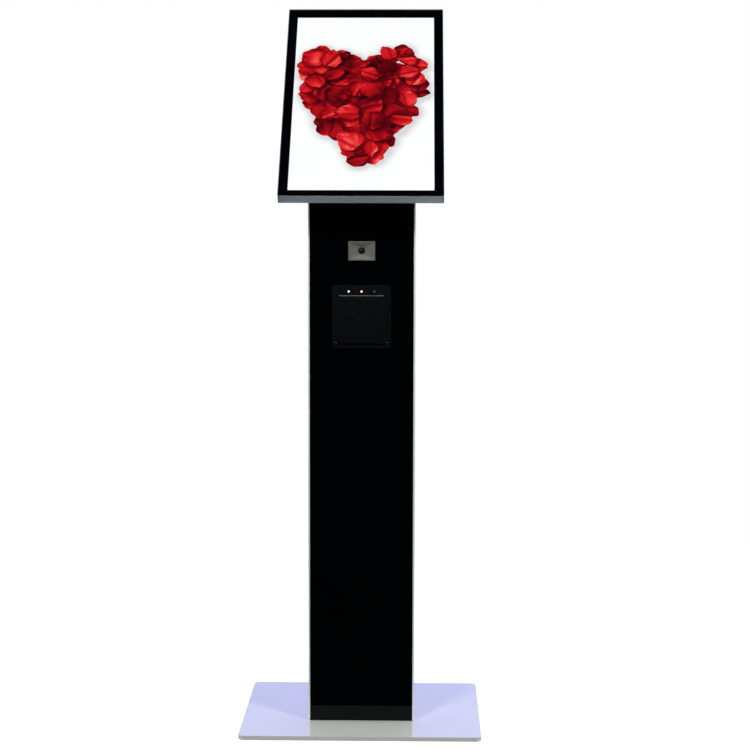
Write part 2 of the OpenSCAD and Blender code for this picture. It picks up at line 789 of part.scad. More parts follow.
module printer_hinge_pin() {
    color("silver") on_printer()
        rod_x(-bezel_w / 2 + 1.2, bezel_w / 2 - 1.2, axis_y, axis_z, small_pin_r);
}

module printer_chassis() {
    color([0.25, 0.25, 0.27]) on_printer() {
        difference() {
            span([-case_x, 0, case_z0], [case_x, printer_d, case_z1]);
            span([-win_x, -1, case_z0 + case_t], [win_x, printer_d - case_t, case_z1 - case_t]);
            rod_y(printer_d - case_t - 1, printer_d + 1, 0, case_z1 - 12, 6);
        }
        for (sx = [-1, 1], z = [45, 95])
            rod_y(printer_d - 0.5, printer_d + 4, sx * 34, z, 2.5);
    }
}

module printer_clamps() {
    color("silver") on_printer() for (s = [-1, 1]) mirror([s > 0 ? 0 : 1, 0, 0]) {
        span([case_x, glass_t, 30], [case_x + 1.5, glass_t + 25, 90]);
        span([case_x, glass_t, 30], [case_x + 13, glass_t + 1.5, 90]);
    }
}

module paper_bucket() {
    outer = bucket_r + bucket_t;
    half = win_x - 0.2;
    cheek = paper_w / 2 + 0.5;
    color([0.3, 0.3, 0.32]) on_printer() {
        difference() {
            rod_x(-half, half, roll_y, roll_z, outer);
            rod_x(-cheek, cheek, roll_y, roll_z, bucket_r);
            for (s = [-1, 1]) rod_x(s > 0 ? cheek + bucket_t : -half - 1,
                s > 0 ? half + 1 : -cheek - bucket_t, roll_y, roll_z, bucket_r);
            span([-half - 1, -outer, roll_z + 14], [half + 1, printer_d + outer, roll_z + outer + 1]);
            span([-half - 1, roll_y - outer - 1, roll_z - 12], [half + 1, roll_y,
                roll_z + outer + 1]);
        }
        for (s = [-1, 1]) span([s * 30 - 3, roll_y - 4, case_z0 + case_t],
            [s * 30 + 3, roll_y + 4, roll_z - bucket_r - 0.5]);
    }
}

module paper_roll() {
    color("white") on_printer() difference() {
        rod_x(-paper_w / 2, paper_w / 2, roll_y, roll_z, roll_r);
        rod_x(-paper_w / 2 - 1, paper_w / 2 + 1, roll_y, roll_z, core_r);
    }
}

module paper_core() {
    color("burlywood") on_printer() difference() {
        rod_x(-paper_w / 2, paper_w / 2, roll_y, roll_z, core_r - run_gap);
        rod_x(-paper_w / 2 - 1, paper_w / 2 + 1, roll_y, roll_z, core_r - core_wall);
    }
}

module platen_roller() {
    half = side_in - move_gap;
    color([0.1, 0.1, 0.1]) on_printer() difference() {
        rod_x(-half, half, platen_y, platen_z, platen_r);
        rod_x(-half - 1, half + 1, platen_y, platen_z, shaft_r + run_gap);
    }
}

module platen_shaft() {
    color("silver") on_printer()
        rod_x(-side_in - ear_t - 1.2, gear_x + gear_t + 0.3, platen_y, platen_z, shaft_r);
}

module platen_gear() {
    color("whitesmoke") on_printer()
        gear_x_plane(platen_teeth, platen_y, platen_z, gear_drop, shaft_r + run_gap);
}

module idler_gear() {
    color("whitesmoke") on_printer()
        gear_x_plane(idler_teeth, idler_y, idler_z, gear_drop + 180 / idler_teeth, 2 + run_gap);
}

module feed_motor() {
    color([0.2, 0.2, 0.22]) on_printer() {
        rod_x(side_in - motor_l, side_in - 1.5, pinion_y, pinion_z, motor_r);
        rod_x(side_in - 2, side_in, pinion_y, pinion_z, motor_r + 1.5);
    }
}

module motor_pinion() {
    color("gold") on_printer() {
        gear_x_plane(pinion_teeth, pinion_y, pinion_z, gear_drop + 180, motor_shaft_r - eps);
        rod_x(side_in + 0.2, gear_x + gear_t, pinion_y, pinion_z, motor_shaft_r);
    }
}

module printer_side_plates() {
    y0 = head_face - 0.8;
    y1 = pinion_y + motor_r + 2;
    z0 = platen_z - 14;
    color("silver") on_printer() {
        difference() {
            for (s = [-1, 1]) span([s > 0 ? side_in : -side_in - side_t, y0, z0],
                [s > 0 ? side_in + side_t : -side_in, y1, case_z1 - case_t]);
            rod_x(side_in - 1, side_in + side_t + 1, pinion_y, pinion_z, motor_shaft_r + 0.6);
        }
        rod_x(side_in + side_t - 0.5, win_x - 0.2, idler_y, idler_z, 2);
    }
}

module print_head() {
    color("ivory") on_printer()
        span([-side_in, head_face, platen_z - 8], [side_in, head_face + ceramic_t, platen_z + 9]);
}

module head_heatsink() {
    y0 = head_face + ceramic_t;
    color("silver") on_printer() difference() {
        span([-side_in, y0, platen_z - 7], [side_in, y0 + sink_t, platen_z + 12]);
        for (i = [0 : 3]) span([-side_in - 1, y0 + 3, platen_z - 4.5 + i * 4],
            [side_in + 1, y0 + sink_t + 1, platen_z - 2.5 + i * 4]);
    }
}

module tear_bar() {
    half = paper_w / 2 + 2.25;
    pitch = 3;
    teeth = floor(half / pitch) - 1;
    color("silver") on_printer() translate([0, 0, strip_z - tear_t]) linear_extrude(tear_t)
        polygon([[half, -0.2], [half, -bezel_t + 1.2],
            for (i = [teeth : -1 : -teeth]) each [[(i + 0.5) * pitch, -bezel_t + 1.2],
                [i * pitch, -bezel_t + 0.2]],
            [-(teeth + 0.5) * pitch, -bezel_t + 1.2], [-half, -bezel_t + 1.2], [-half, -0.2]]);
}

module lamp(x) {
    on_printer() {
        rod_y(-bezel_t, lamp_board_y, x, lamp_z, lamp_r);
        translate([x, -bezel_t, lamp_z]) intersection() {
            translate([0, 1, 0]) sphere(sqrt(lamp_r * lamp_r + 1));
            rod_y(-3, 0.2, 0, 0, lamp_r);
        }
    }
}

module power_lamp() {
    color("honeydew") lamp(-lamp_dx);
}

module paper_lamp() {
    color("orange") lamp(0);
}

module feed_button() {
    color("gray") on_printer() {
        rod_y(-bezel_t - 0.8, 1.2, lamp_dx, lamp_z, button_r);
        rod_y(0.25, 1.6, lamp_dx, lamp_z, button_r + 1);
    }
}

// Lamp board with the feed switch, control board behind the printer's chassis, and camera board
module small_boards() {
    z0 = lamp_z - lamp_board_h / 2;
    color("darkgreen") on_printer() {
        span([-lamp_dx - 10, lamp_board_y, z0], [lamp_dx + 10, lamp_board_y + pcb_t,
            z0 + lamp_board_h]);
        span([lamp_dx - 3, lamp_board_y - 1.6, lamp_z - 2.5], [lamp_dx + 3, lamp_board_y + 0.5,
            lamp_z + 2.5]);
        span([-40, printer_d + 4, 40], [40, printer_d + 4 + pcb_t, 100]);
        span([-30, printer_d + 5, 84], [30, printer_d + 12, 92]);
        span([-12, printer_d + 5, 54], [2, printer_d + 8, 68]);
    }
    color("darkgreen") {
        span([-cam_h / 2, cam_board_y, cam_z - cam_h / 2 + 3], [cam_h / 2, cam_board_y + pcb_t,
            cam_z + cam_h / 2 - 3]);
        span([-8, cam_board_y + 1, cam_z - 12], [8, cam_board_y + 3.4, cam_z - 3]);
    }
}

// ---------- camera ----------

module camera_plate() {
    color("silver") translate([0, col_front, cam_z]) rotate([90, 0, 0]) linear_extrude(cam_t)
        difference() {
            round_rect(cam_w, cam_h, 1.5);
            circle(barrel_d / 2 + 0.3);
        }
}

module camera_barrel() {
    color([0.03, 0.03, 0.03]) difference() {
        rod_y(barrel_front, cam_board_y, 0, cam_z, barrel_d / 2);
        rod_y(barrel_front - 1, barrel_front + barrel_l - 3, 0, cam_z, barrel_d / 2 - 2);
    }
}

module camera_lens() {
    r = barrel_d / 2 - 2 - 0.1;
    dome = 7;
    color([0.1, 0.1, 0.16]) translate([0, barrel_front + 1, cam_z]) intersection() {
        translate([0, dome - 0.6, 0]) sphere(dome);
        rod_y(-2, 3, 0, 0, r);
    }
}

module camera_bracket() {
    y1 = return_back + bracket_t;
    color("silver") difference() {
        union() {
            span([-bracket_w / 2, return_back, cam_z - cam_h / 2], [bracket_w / 2, y1,
                cam_z + cam_h / 2]);
            for (sx = [-1, 1], sz = [-1, 1]) rod_y(y1 - 0.5, cam_board_y, sx * (cam_h / 2 - 4),
                cam_z + sz * (cam_h / 2 - 7), 2);
        }
        rod_y(return_back - 1, y1 + 1, 0, cam_z, barrel_d / 2 + 1);
        for (sx = [-1, 1]) rod_y(return_back - 1, y1 + 1, sx * cam_screw_x, cam_z,
            cam_screw_d / 2 + 0.2);
    }
}

// ---------- head ----------

module head_frame() {
    seat = touch_t + border_t;
    color("silver") on_head() translate([0, mid_h, -frame_t]) difference() {
        linear_extrude(frame_t) round_rect(frame_w, frame_h, 3);
        translate([0, 0, frame_t - seat]) linear_extrude(seat + 1)
            round_rect(frame_w - 2 * lip_w, frame_h - 2 * lip_w, 1.8);
        translate([0, 0, -1]) linear_extrude(frame_t + 2)
            square([frame_w - 2 * frame_wall, frame_h - 2 * frame_wall], center = true);
    }
}

module touch_glass() {
    color([0.1, 0.1, 0.12, 0.4]) on_head() translate([0, mid_h, -touch_t])
        linear_extrude(touch_t)
            round_rect(frame_w - 2 * lip_w - 0.2, frame_h - 2 * lip_w - 0.2, 1.7);
}

module screen_border() {
    color([0.02, 0.02, 0.02]) on_head() translate([0, 0, -touch_t - border_t])
        linear_extrude(border_t) difference() {
            translate([0, mid_h])
                square([frame_w - 2 * lip_w - 1, frame_h - 2 * lip_w - 1], center = true);
            translate([0, screen_mid]) square([screen_w, screen_h], center = true);
        }
}

module display_panel() {
    color([0.9, 0.9, 0.92]) on_head() translate([0, screen_mid, -touch_t - border_t - panel_t])
        linear_extrude(panel_t)
            square([screen_w + 24, screen_h + 2 * panel_rim], center = true);
}

module panel_brackets() {
    d0 = touch_t + border_t + panel_t;
    color("silver") on_head() for (sx = [-1, 1], s = [0.2, 0.8])
        translate([sx * (frame_w / 2 - frame_wall - 13), frame_h * s, -frame_t + back_t])
            translate([-13, -15, 0]) cube([26, 30, frame_t - back_t - d0]);
}

module head_back_plate() {
    color([0.08, 0.08, 0.08]) on_head() translate([0, 0, -frame_t]) linear_extrude(back_t)
        difference() {
            translate([0, mid_h]) square([frame_w - 2 * frame_wall - 0.4,
                frame_h - 2 * frame_wall - 0.4], center = true);
            translate([0, housing_mid]) square([housing_w - 30, housing_h - 30], center = true);
        }
}

module head_housing() {
    color([0.08, 0.08, 0.08]) on_head() {
        difference() {
            translate([0, housing_mid, -head_d]) linear_extrude(housing_t)
                round_rect(housing_w, housing_h, 6);
            translate([0, housing_mid, -head_d + back_t]) linear_extrude(housing_t)
                round_rect(housing_w - 2 * back_t, housing_h - 2 * back_t, 4.5);
            for (sx = [-1, 1], s = [mount_lo, mount_hi]) translate([sx * mount_dx / 2, s,
                -head_d - 1]) cylinder(h = back_t + 2, d = bolt_d + 0.6);
            translate([0, cable_y, -head_d - 1]) cylinder(h = back_t + 2, d = cable_hole_d);
            for (sx = [-1, 1], i = [0 : 4]) translate([sx * 60, housing_y1 - 62 + i * 7, -head_d])
                cube([44, 3, 4 * back_t], center = true);
            for (i = [-5 : 5]) translate([i * 9, housing_y1 - 90, -head_d])
                cube([3, 30, 4 * back_t], center = true);
        }
        for (sx = [-1, 1], s = [8, board_h - 8])
            translate([sx * (board_w / 2 - 8), board_y0 + s, -head_d + back_t - 0.5])
                cylinder(h = head_d - back_t + 0.5 - board_d - pcb_t, r = board_post_r, $fn = 24);
    }
}

module mainboard() {
    color("darkgreen") on_head() translate([0, board_y0, -board_d - pcb_t]) {
        translate([-board_w / 2, 0, 0]) cube([board_w, board_h, pcb_t]);
        translate([-20, 50, 1]) cube([40, 40, 3]);
        for (i = [0 : 9]) translate([-20, 50 + i * 4.2, 3]) cube([40, 1.8, 9]);
        for (i = [0 : 3]) translate([-board_w / 2 + 12 + i * 26, 3, 1]) cube([15, 13, 7]);
        translate([board_w / 2 - 44, 30, 1]) cube([30, 66, 3]);
    }
}

module speakers() {
    color([0.05, 0.05, 0.05]) on_head() for (sx = [-1, 1])
        translate([sx * 60, housing_y1 - 48, -head_d + back_t]) {
            translate([-35, -15, 0]) cube([70, 30, 12]);
            translate([0, 0, 11]) cylinder(h = 4, r = 9);
        }
}

module internal_cables() {
    color([0.05, 0.05, 0.05]) {
        cable(dc_route, 5);
        cable(mains_route, 7);
        cable(printer_route, 4);
        cable(camera_route, 4);
    }
}

base_plate();
base_fasteners();
column_foot();
column_shell();
front_glass();
glass_tape();
head_mount_plate();
head_fasteners();
cable_grommet();
door_frame();
service_door();
column_hinges();
door_hinge_leaves();
lock_body();
lock_plug();
lock_cam();
mains_inlet();
inlet_pins();
rocker_bezel();
power_rocker();
power_supply();
fan_frame();
fan_rotor();
small_screws();
printer_bezel();
printer_door();
printer_hinge_pin();
printer_chassis();
printer_clamps();
paper_bucket();
paper_roll();
paper_core();
platen_roller();
platen_shaft();
platen_gear();
idler_gear();
feed_motor();
motor_pinion();
printer_side_plates();
print_head();
head_heatsink();
tear_bar();
power_lamp();
paper_lamp();
feed_button();
small_boards();
camera_plate();
camera_barrel();
camera_lens();
camera_bracket();
head_frame();
touch_glass();
screen_border();
display_panel();
panel_brackets();
head_back_plate();
head_housing();
mainboard();
speakers();
internal_cables();
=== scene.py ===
# %% [markdown]
# # A slim photo booth, dressed for a close look
# This booth is a steel base plate, a narrow column with a black glass front, and a touch display
# that leans back on top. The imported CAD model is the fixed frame: it has every real size and every
# joint. This lesson rounds its edges, gives each finish its own material and lights it softly.

# %% Load the fixed frame
import json
import math

import bmesh
import bpy
import numpy as np
from mathutils import Matrix, Vector

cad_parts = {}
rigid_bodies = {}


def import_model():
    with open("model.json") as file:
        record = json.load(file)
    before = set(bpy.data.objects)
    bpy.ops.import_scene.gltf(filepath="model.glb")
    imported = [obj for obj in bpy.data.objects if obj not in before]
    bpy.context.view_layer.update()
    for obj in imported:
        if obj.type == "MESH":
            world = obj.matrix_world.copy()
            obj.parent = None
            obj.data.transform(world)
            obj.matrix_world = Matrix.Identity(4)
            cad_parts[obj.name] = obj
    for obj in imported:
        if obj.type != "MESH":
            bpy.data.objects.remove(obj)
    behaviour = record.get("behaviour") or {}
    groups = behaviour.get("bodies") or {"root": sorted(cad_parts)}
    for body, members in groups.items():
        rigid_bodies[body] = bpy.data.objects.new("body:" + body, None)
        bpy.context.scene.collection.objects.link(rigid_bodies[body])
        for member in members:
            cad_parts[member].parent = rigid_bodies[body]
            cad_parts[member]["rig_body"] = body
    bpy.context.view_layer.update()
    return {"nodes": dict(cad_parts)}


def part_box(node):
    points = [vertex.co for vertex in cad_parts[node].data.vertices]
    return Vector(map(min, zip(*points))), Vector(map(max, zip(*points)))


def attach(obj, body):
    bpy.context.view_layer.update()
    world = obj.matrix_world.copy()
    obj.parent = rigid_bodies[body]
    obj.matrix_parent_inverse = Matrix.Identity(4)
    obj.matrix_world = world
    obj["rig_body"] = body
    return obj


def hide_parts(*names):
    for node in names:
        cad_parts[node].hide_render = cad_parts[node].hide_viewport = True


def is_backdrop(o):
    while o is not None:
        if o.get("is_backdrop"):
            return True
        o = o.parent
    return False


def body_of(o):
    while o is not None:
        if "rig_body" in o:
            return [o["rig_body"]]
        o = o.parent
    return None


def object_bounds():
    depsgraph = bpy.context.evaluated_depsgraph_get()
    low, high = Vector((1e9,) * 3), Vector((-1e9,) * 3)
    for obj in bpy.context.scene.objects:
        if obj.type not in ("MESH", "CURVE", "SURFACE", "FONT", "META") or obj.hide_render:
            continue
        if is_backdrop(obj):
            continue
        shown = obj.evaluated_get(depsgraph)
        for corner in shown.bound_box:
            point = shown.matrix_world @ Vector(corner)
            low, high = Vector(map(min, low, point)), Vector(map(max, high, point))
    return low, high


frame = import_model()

MM = 0.001

# %% [markdown]
# ## The camera
# A longer lens from nearly four metres keeps the tall column straight, as a product picture does.
# The camera stands a little to the right, at the height of the head's lower edge, and looks down
# by about six degrees. The lens isn't shifted and nothing is out of focus, so that other views
# can use the same camera.

# %% Camera
CAMERA_AT = (0.1053, -3.8365, 1.0377)  # metres
CAMERA_TURN, CAMERA_DIP, CAMERA_ROLL = 1.226, -5.636, -0.108  # degrees about Z, X and Y
UPRIGHT = 90  # a new camera looks down, and this many degrees about X make it look ahead

lens = bpy.data.cameras.new("booth_camera")
lens.sensor_width, lens.lens = 36.0, 96.8  # millimetres
lens.clip_start, lens.clip_end = 0.05, 100
camera = bpy.data.objects.new("booth_camera", lens)
bpy.context.collection.objects.link(camera)
aim = Matrix.Identity(4)
for degrees, axis in ((CAMERA_TURN, "Z"), (CAMERA_DIP, "X"), (CAMERA_ROLL, "Y"), (UPRIGHT, "X")):
    aim = aim @ Matrix.Rotation(math.radians(degrees), 4, axis)
camera.matrix_world = Matrix.Translation(CAMERA_AT) @ aim
bpy.context.scene.camera = camera
print("camera stands at", [round(c, 3) for c in camera.matrix_world.translation])

# %% [markdown]
# ## Colours and nodes
# Colours are easy to pick as the hex values of a paint chart, but a shader works in linear light,
# so one function turns one into the other. A second function adds a shader node with its settings,
# its values and its links, which keeps each material short.

# %% Colour and node helpers
def linear(hex_colour):
    """The linear light of an sRGB hex colour, as red, green, blue and one."""
    parts = [int(hex_colour[i:i + 2], 16) / 255 for i in (1, 3, 5)]
    return tuple(c / 12.92 if c < 0.04045 else ((c + 0.055) / 1.055) ** 2.4 for c in parts) + (1.0,)


def add_node(tree, kind, values=None, links=None, **settings):
    """Adds one node. values are its inputs, links join its inputs to other nodes' sockets."""
    node = tree.nodes.new(kind)
    for name, value in settings.items():
        setattr(node, name, value)
    for name, value in (values or {}).items():
        node.inputs[name].default_value = value
    for name, socket in (links or {}).items():
        tree.links.new(socket, node.inputs[name])
    return node


print("white paint in linear light:", [round(c, 3) for c in linear("#ECEDEF")[:3]])

# %% [markdown]
# ## The studio floor
# The floor is a pale sheet, lit a little from below like a light table. It could be one huge plane,
# but its far edge would show in low views, so it is a disc that fades out towards its rim. It takes
# the booth's shadows, but it is left out of reflections and bounced light, because the black glass
# should mirror a dark room and not the floor in front of it.

# %% Floor
FLOOR_RADIUS, FLOOR_DROP = 2.4, 0.3 * MM
FADE_START, FADE_END = 0.7, 2.3  # metres from the floor's middle


def new_object(name, work):
    """Makes an object at the origin from a bmesh, and frees the bmesh."""
    mesh = bpy.data.meshes.new(name)
    work.to_mesh(mesh)
    work.free()
    piece = bpy.data.objects.new(name, mesh)
    bpy.context.collection.objects.link(piece)
    return piece


sheet = bmesh.new()
bmesh.ops.create_circle(sheet, cap_ends=True, segments=96, radius=FLOOR_RADIUS)
bmesh.ops.translate(sheet, verts=sheet.verts, vec=(0, 0, -FLOOR_DROP))
floor = new_object("studio_floor", sheet)
floor.visible_glossy = floor.visible_diffuse = False
floor_paint = bpy.data.materials.new("matt_white_floor_paint")
floor_paint.use_nodes = True
tree = floor_paint.node_tree
paint, out = tree.nodes["Principled BSDF"], tree.nodes["Material Output"]
paint.inputs["Base Color"].default_value = linear("#F4F5F6")
paint.inputs["Roughness"].default_value = 0.9
paint.inputs["Specular IOR Level"].default_value = 0.1
paint.inputs["Emission Color"].default_value = (1, 1, 1, 1)
paint.inputs["Emission Strength"].default_value = 0.5
where = add_node(tree, "ShaderNodeTexCoord")
from_middle = add_node(tree, "ShaderNodeVectorMath", operation="LENGTH",
                       links={"Vector": where.outputs["Object"]})
fade = add_node(tree, "ShaderNodeMapRange", interpolation_type="SMOOTHSTEP",
                values={"From Min": FADE_START, "From Max": FADE_END},
                links={"Value": from_middle.outputs["Value"]})
clear = add_node(tree, "ShaderNodeBsdfTransparent")
blend = add_node(tree, "ShaderNodeMixShader", links={"Fac": fade.outputs["Result"]})
tree.links.new(paint.outputs["BSDF"], blend.inputs[1])
tree.links.new(clear.outputs["BSDF"], blend.inputs[2])
tree.links.new(blend.outputs["Shader"], out.inputs["Surface"])
floor.data.materials.append(floor_paint)
floor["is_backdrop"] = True
print("the floor reaches", FLOOR_RADIUS, "m and fades from", FADE_START, "m")

# %% [markdown]
# ## The room
# The room is white to the camera and gives a weak even light. Polished surfaces mirror something
# else, as they do in a studio with black flags in front: a room that is dark ahead of the booth,
# with a lavender band low behind it, which the glossy plate shows, a dim glow from straight below,
# which the display's lower edge shows, and grey walls at the sides and low at the rear, which the
# metal parts there show. Each of these is a smooth step of the direction that a ray leaves in.

# %% Room
BAND_STRENGTH, DARK, GLOW_BELOW, WALL_STRENGTH, AMBIENT = 1.6, 0.02, 0.12, 0.42, 0.1

bpy.context.scene.view_settings.view_transform = "Standard"
room = bpy.data.worlds.new("white_studio")
bpy.context.scene.world = room
room.use_nodes = True
tree = room.node_tree
glow, out = tree.nodes["Background"], tree.nodes["World Output"]
where = add_node(tree, "ShaderNodeTexCoord")
split = add_node(tree, "ShaderNodeSeparateXYZ", links={"Vector": where.outputs["Generated"]})
across = add_node(tree, "ShaderNodeMath", operation="ABSOLUTE", links={0: split.outputs["X"]})


def step(socket, start, end, low=0.0, high=1.0):
    """A smooth step of a direction's part, from low at start to high at end."""
    ramp = add_node(tree, "ShaderNodeMapRange", interpolation_type="SMOOTHSTEP",
                    values={"From Min": start, "From Max": end, "To Min": low, "To Max": high},
                    links={"Value": socket})
    return ramp.outputs["Result"]


def combine(operation, first, second):
    """Joins two steps, or a step and a number, with the given operation."""
    node = add_node(tree, "ShaderNodeMath", operation=operation, links={0: first})
    if isinstance(second, float):
        node.inputs[1].default_value = second
    else:
        tree.links.new(second, node.inputs[1])
    return node.outputs["Value"]


def mix_rays(kind, others, these):
    """Shows one light to rays of a kind and another to all others."""
    rays = add_node(tree, "ShaderNodeLightPath")
    mix = add_node(tree, "ShaderNodeMixShader", links={"Fac": rays.outputs[kind]})
    tree.links.new(others, mix.inputs[1])
    tree.links.new(these, mix.inputs[2])
    return mix.outputs["Shader"]


# %% The room's parts
sideways, backward, upward = across.outputs["Value"], split.outputs["Y"], split.outputs["Z"]
low_band = combine("MULTIPLY", step(upward, 0.2, 0.6, 1.0, 0.0), step(upward, 0.03, 0.16))
band = combine("MULTIPLY", step(backward, 0.2, 0.9), low_band)
below = step(upward, -0.6, -0.95, DARK, GLOW_BELOW)
tree.links.new(combine("ADD", combine("MULTIPLY", band, BAND_STRENGTH), below), glow.inputs["Strength"])
glow.inputs["Color"].default_value = linear("#9A9AFF")
rear_floor = combine("MULTIPLY", step(backward, 0.3, 0.7), step(upward, 0.04, -0.04))
walls = combine("MAXIMUM", step(sideways, 0.6, 0.9), rear_floor)
wall_light = add_node(tree, "ShaderNodeBackground", values={"Color": linear("#F4F6FF")},
                      links={"Strength": combine("MULTIPLY", walls, WALL_STRENGTH)})
in_gloss = add_node(tree, "ShaderNodeAddShader")
tree.links.new(glow.outputs["Background"], in_gloss.inputs[0])
tree.links.new(wall_light.outputs["Background"], in_gloss.inputs[1])
ambient = add_node(tree, "ShaderNodeBackground",
                   values={"Color": linear("#F6F8FF"), "Strength": AMBIENT})
backdrop = add_node(tree, "ShaderNodeBackground",
                    values={"Color": (1, 1, 1, 1), "Strength": 1.0})
lit = mix_rays("Is Glossy Ray", ambient.outputs["Background"], in_gloss.outputs["Shader"])
tree.links.new(mix_rays("Is Camera Ray", lit, backdrop.outputs["Background"]), out.inputs["Surface"])
print("the room has", len(tree.nodes), "nodes")

# %% [markdown]
# ## The lights
# Two soft boxes stand in front, left and right, and high enough to light the plate's top more than
# its front edge. A weak long one above the camera draws the bright lines on rounded edges. Two at
# the sides light the column's flanks without a reflection, and three light the back. None stands
# where the column's glass, the leaned display or the plate would mirror it towards the camera.

# %% Soft boxes
SOFT_BOXES = [  # name, place and target in metres, width, height, power in watts, colour
    ("front_left_box", (-1.05, -2.3, 2.9), (0, 0, 0.3), 0.6, 0.6, 44, "#FCFFF1"),
    ("front_right_box", (1.6, -1.9, 2.9), (0, 0, 0.3), 0.6, 0.6, 41, "#FCFFF1"),
    ("over_camera_box", (0.1, -4.4, 1.6), (0, 0, 0.9), 2.6, 0.6, 17, "#FDFFF6"),
    ("side_left_box", (-2.4, 0.2, 0.9), (0, 0, 0.6), 1.2, 1.4, 26, "#EEF1FF"),
    ("side_right_box", (2.4, 0.2, 0.9), (0, 0, 0.6), 1.2, 1.4, 26, "#EEF1FF"),
    ("rear_box", (0.3, 3.2, 2.2), (0, 0, 0.7), 1.6, 1.0, 16, "#FAFBFF"),
    ("rear_left_box", (-1.6, 3.0, 1.1), (0, 0, 0.7), 1.0, 1.0, 22, "#FAFBFF"),
    ("rear_right_box", (1.6, 3.0, 1.1), (0, 0, 0.7), 1.0, 1.0, 22, "#FAFBFF"),
]
for name, place, target, wide, high, power, colour in SOFT_BOXES:
    box = bpy.data.lights.new(name, "AREA")
    box.shape, box.size, box.size_y, box.energy = "RECTANGLE", wide, high, power
    box.color = linear(colour)[:3]
    stand = bpy.data.objects.new(name, box)
    stand.location = place
    stand.rotation_euler = (Vector(target) - Vector(place)).to_track_quat("-Z", "Y").to_euler()
    stand.visible_glossy = not name.startswith("side")
    bpy.context.collection.objects.link(stand)
    print(name, power, "W")

# %% [markdown]
# ## Finishes
# Each real finish is one material. It starts from the base colour, the roughness and the metal or
# non-metal nature of the real thing, then gets a grain: the orange peel of powder coat, the
# strokes of a brush, the spangle of zinc or the spark texture of a moulded case. A grain is noise
# in the object's own space whose scale comes from a real size in millimetres.

# %% A finish and its grain
NOISE_LOW, NOISE_HIGH = 0.3, 0.7  # nearly all of Blender's noise lies between these


def new_finish(name, colour, roughness, metallic=0.0, **more):
    """Starts a material. more gives other inputs of the shader, with _ for a space."""
    finish = bpy.data.materials.new(name)
    finish.use_nodes = True
    shader = finish.node_tree.nodes["Principled BSDF"]
    shader.inputs["Base Color"].default_value = linear(colour)
    shader.inputs["Roughness"].default_value = roughness
    shader.inputs["Metallic"].default_value = metallic
    for socket, value in more.items():
        shader.inputs[socket.replace("_", " ")].default_value = value
    return finish


def add_grain(finish, size_mm, bump_mm=0.0, stretch=(1, 1, 1), rough=0.0, second=None, detail=2.0):
    """Adds noise with cells of size_mm, drawn out by stretch. It moves the surface by bump_mm, the
    roughness by rough, and the colour towards second."""
    tree = finish.node_tree
    shader = tree.nodes["Principled BSDF"]
    where = add_node(tree, "ShaderNodeTexCoord")
    scale = [1 / (size_mm * MM * s) for s in stretch]
    placed = add_node(tree, "ShaderNodeMapping", values={"Scale": scale},
                      links={"Vector": where.outputs["Object"]})
    noise = add_node(tree, "ShaderNodeTexNoise", values={"Scale": 1.0, "Detail": detail},
                     links={"Vector": placed.outputs["Vector"]})
    if bump_mm:
        bump = add_node(tree, "ShaderNodeBump", values={"Strength": 1.0, "Distance": bump_mm * MM},
                        links={"Height": noise.outputs["Fac"]})
        tree.links.new(bump.outputs["Normal"], shader.inputs["Normal"])
    if rough:
        base = shader.inputs["Roughness"].default_value
        spread = add_node(tree, "ShaderNodeMapRange", links={"Value": noise.outputs["Fac"]},
                          values={"From Min": NOISE_LOW, "From Max": NOISE_HIGH,
                                  "To Min": base - rough, "To Max": base + rough})
        tree.links.new(spread.outputs["Result"], shader.inputs["Roughness"])
    if second:
        first = shader.inputs["Base Color"].default_value[:]
        ramp = add_node(tree, "ShaderNodeValToRGB", links={"Fac": noise.outputs["Fac"]})
        start, end = ramp.color_ramp.elements
        start.position, end.position = NOISE_LOW, NOISE_HIGH
        start.color, end.color = first, linear(second)
        tree.links.new(ramp.outputs["Color"], shader.inputs["Base Color"])
    return finish


print("a grain of 0.5 mm repeats", round(1 / (0.5 * MM)), "times in a metre")

# %% [markdown]
# ### Paint
# Powder coat is sprayed on dry and baked. It flows into a thick gloss skin with a faint orange
# peel a few millimetres across, so its reflections wobble a little. The satin black on the head's
# back is a fine texture coat that scatters light.

# %% Powder coats
finishes = {}
finishes["white_paint"] = add_grain(new_finish(
    "gloss_white_powder_coat", "#E1E3E2", 0.16, IOR=1.5, Coat_Weight=0.25, Coat_Roughness=0.06),
    3.0, bump_mm=0.012, rough=0.03, second="#E6E8E7")
finishes["white_paint_inside"] = add_grain(new_finish(
    "satin_white_powder_coat", "#D2D3D5", 0.42, IOR=1.5),
    2.0, bump_mm=0.01, rough=0.05, second="#D8D9DB")
finishes["black_paint"] = add_grain(new_finish(
    "satin_black_powder_coat", "#18191A", 0.42, IOR=1.5),
    0.7, bump_mm=0.03, rough=0.06, second="#1F2022", detail=4)
print("paints:", ", ".join(finishes))

# %% [markdown]
# ### Metals
# Zinc plate is a dull mottled silver. The camera plate is stainless steel brushed from side to
# side, which draws its highlights out. The display's frame is aluminium, blasted and then
# anodised, which gives an even satin grey.

# %% Metals
finishes["zinc_steel"] = add_grain(new_finish(
    "zinc_plated_steel", "#B4B3AC", 0.34, 1.0),
    6.0, rough=0.08, second="#C6C5C0", detail=3)
finishes["stainless"] = add_grain(new_finish(
    "brushed_stainless_steel", "#8E8F89", 0.38, 1.0),
    0.35, bump_mm=0.004, stretch=(60, 1, 1), rough=0.08, second="#80817B")
finishes["chrome_parts"] = add_grain(new_finish(
    "polished_chrome", "#D5D6D8", 0.07, 1.0),
    8.0, rough=0.02, second="#CFD0D3")
finishes["silver_aluminium"] = add_grain(new_finish(
    "satin_anodised_aluminium", "#C9D3D2", 0.32, 1.0),
    0.5, bump_mm=0.003, rough=0.04, second="#C0CAC9", detail=3)
finishes["raw_aluminium"] = add_grain(new_finish(
    "plain_mill_aluminium", "#B3B5B6", 0.42, 1.0),
    1.2, bump_mm=0.005, stretch=(1, 1, 20), rough=0.06, second="#A3A5A6")
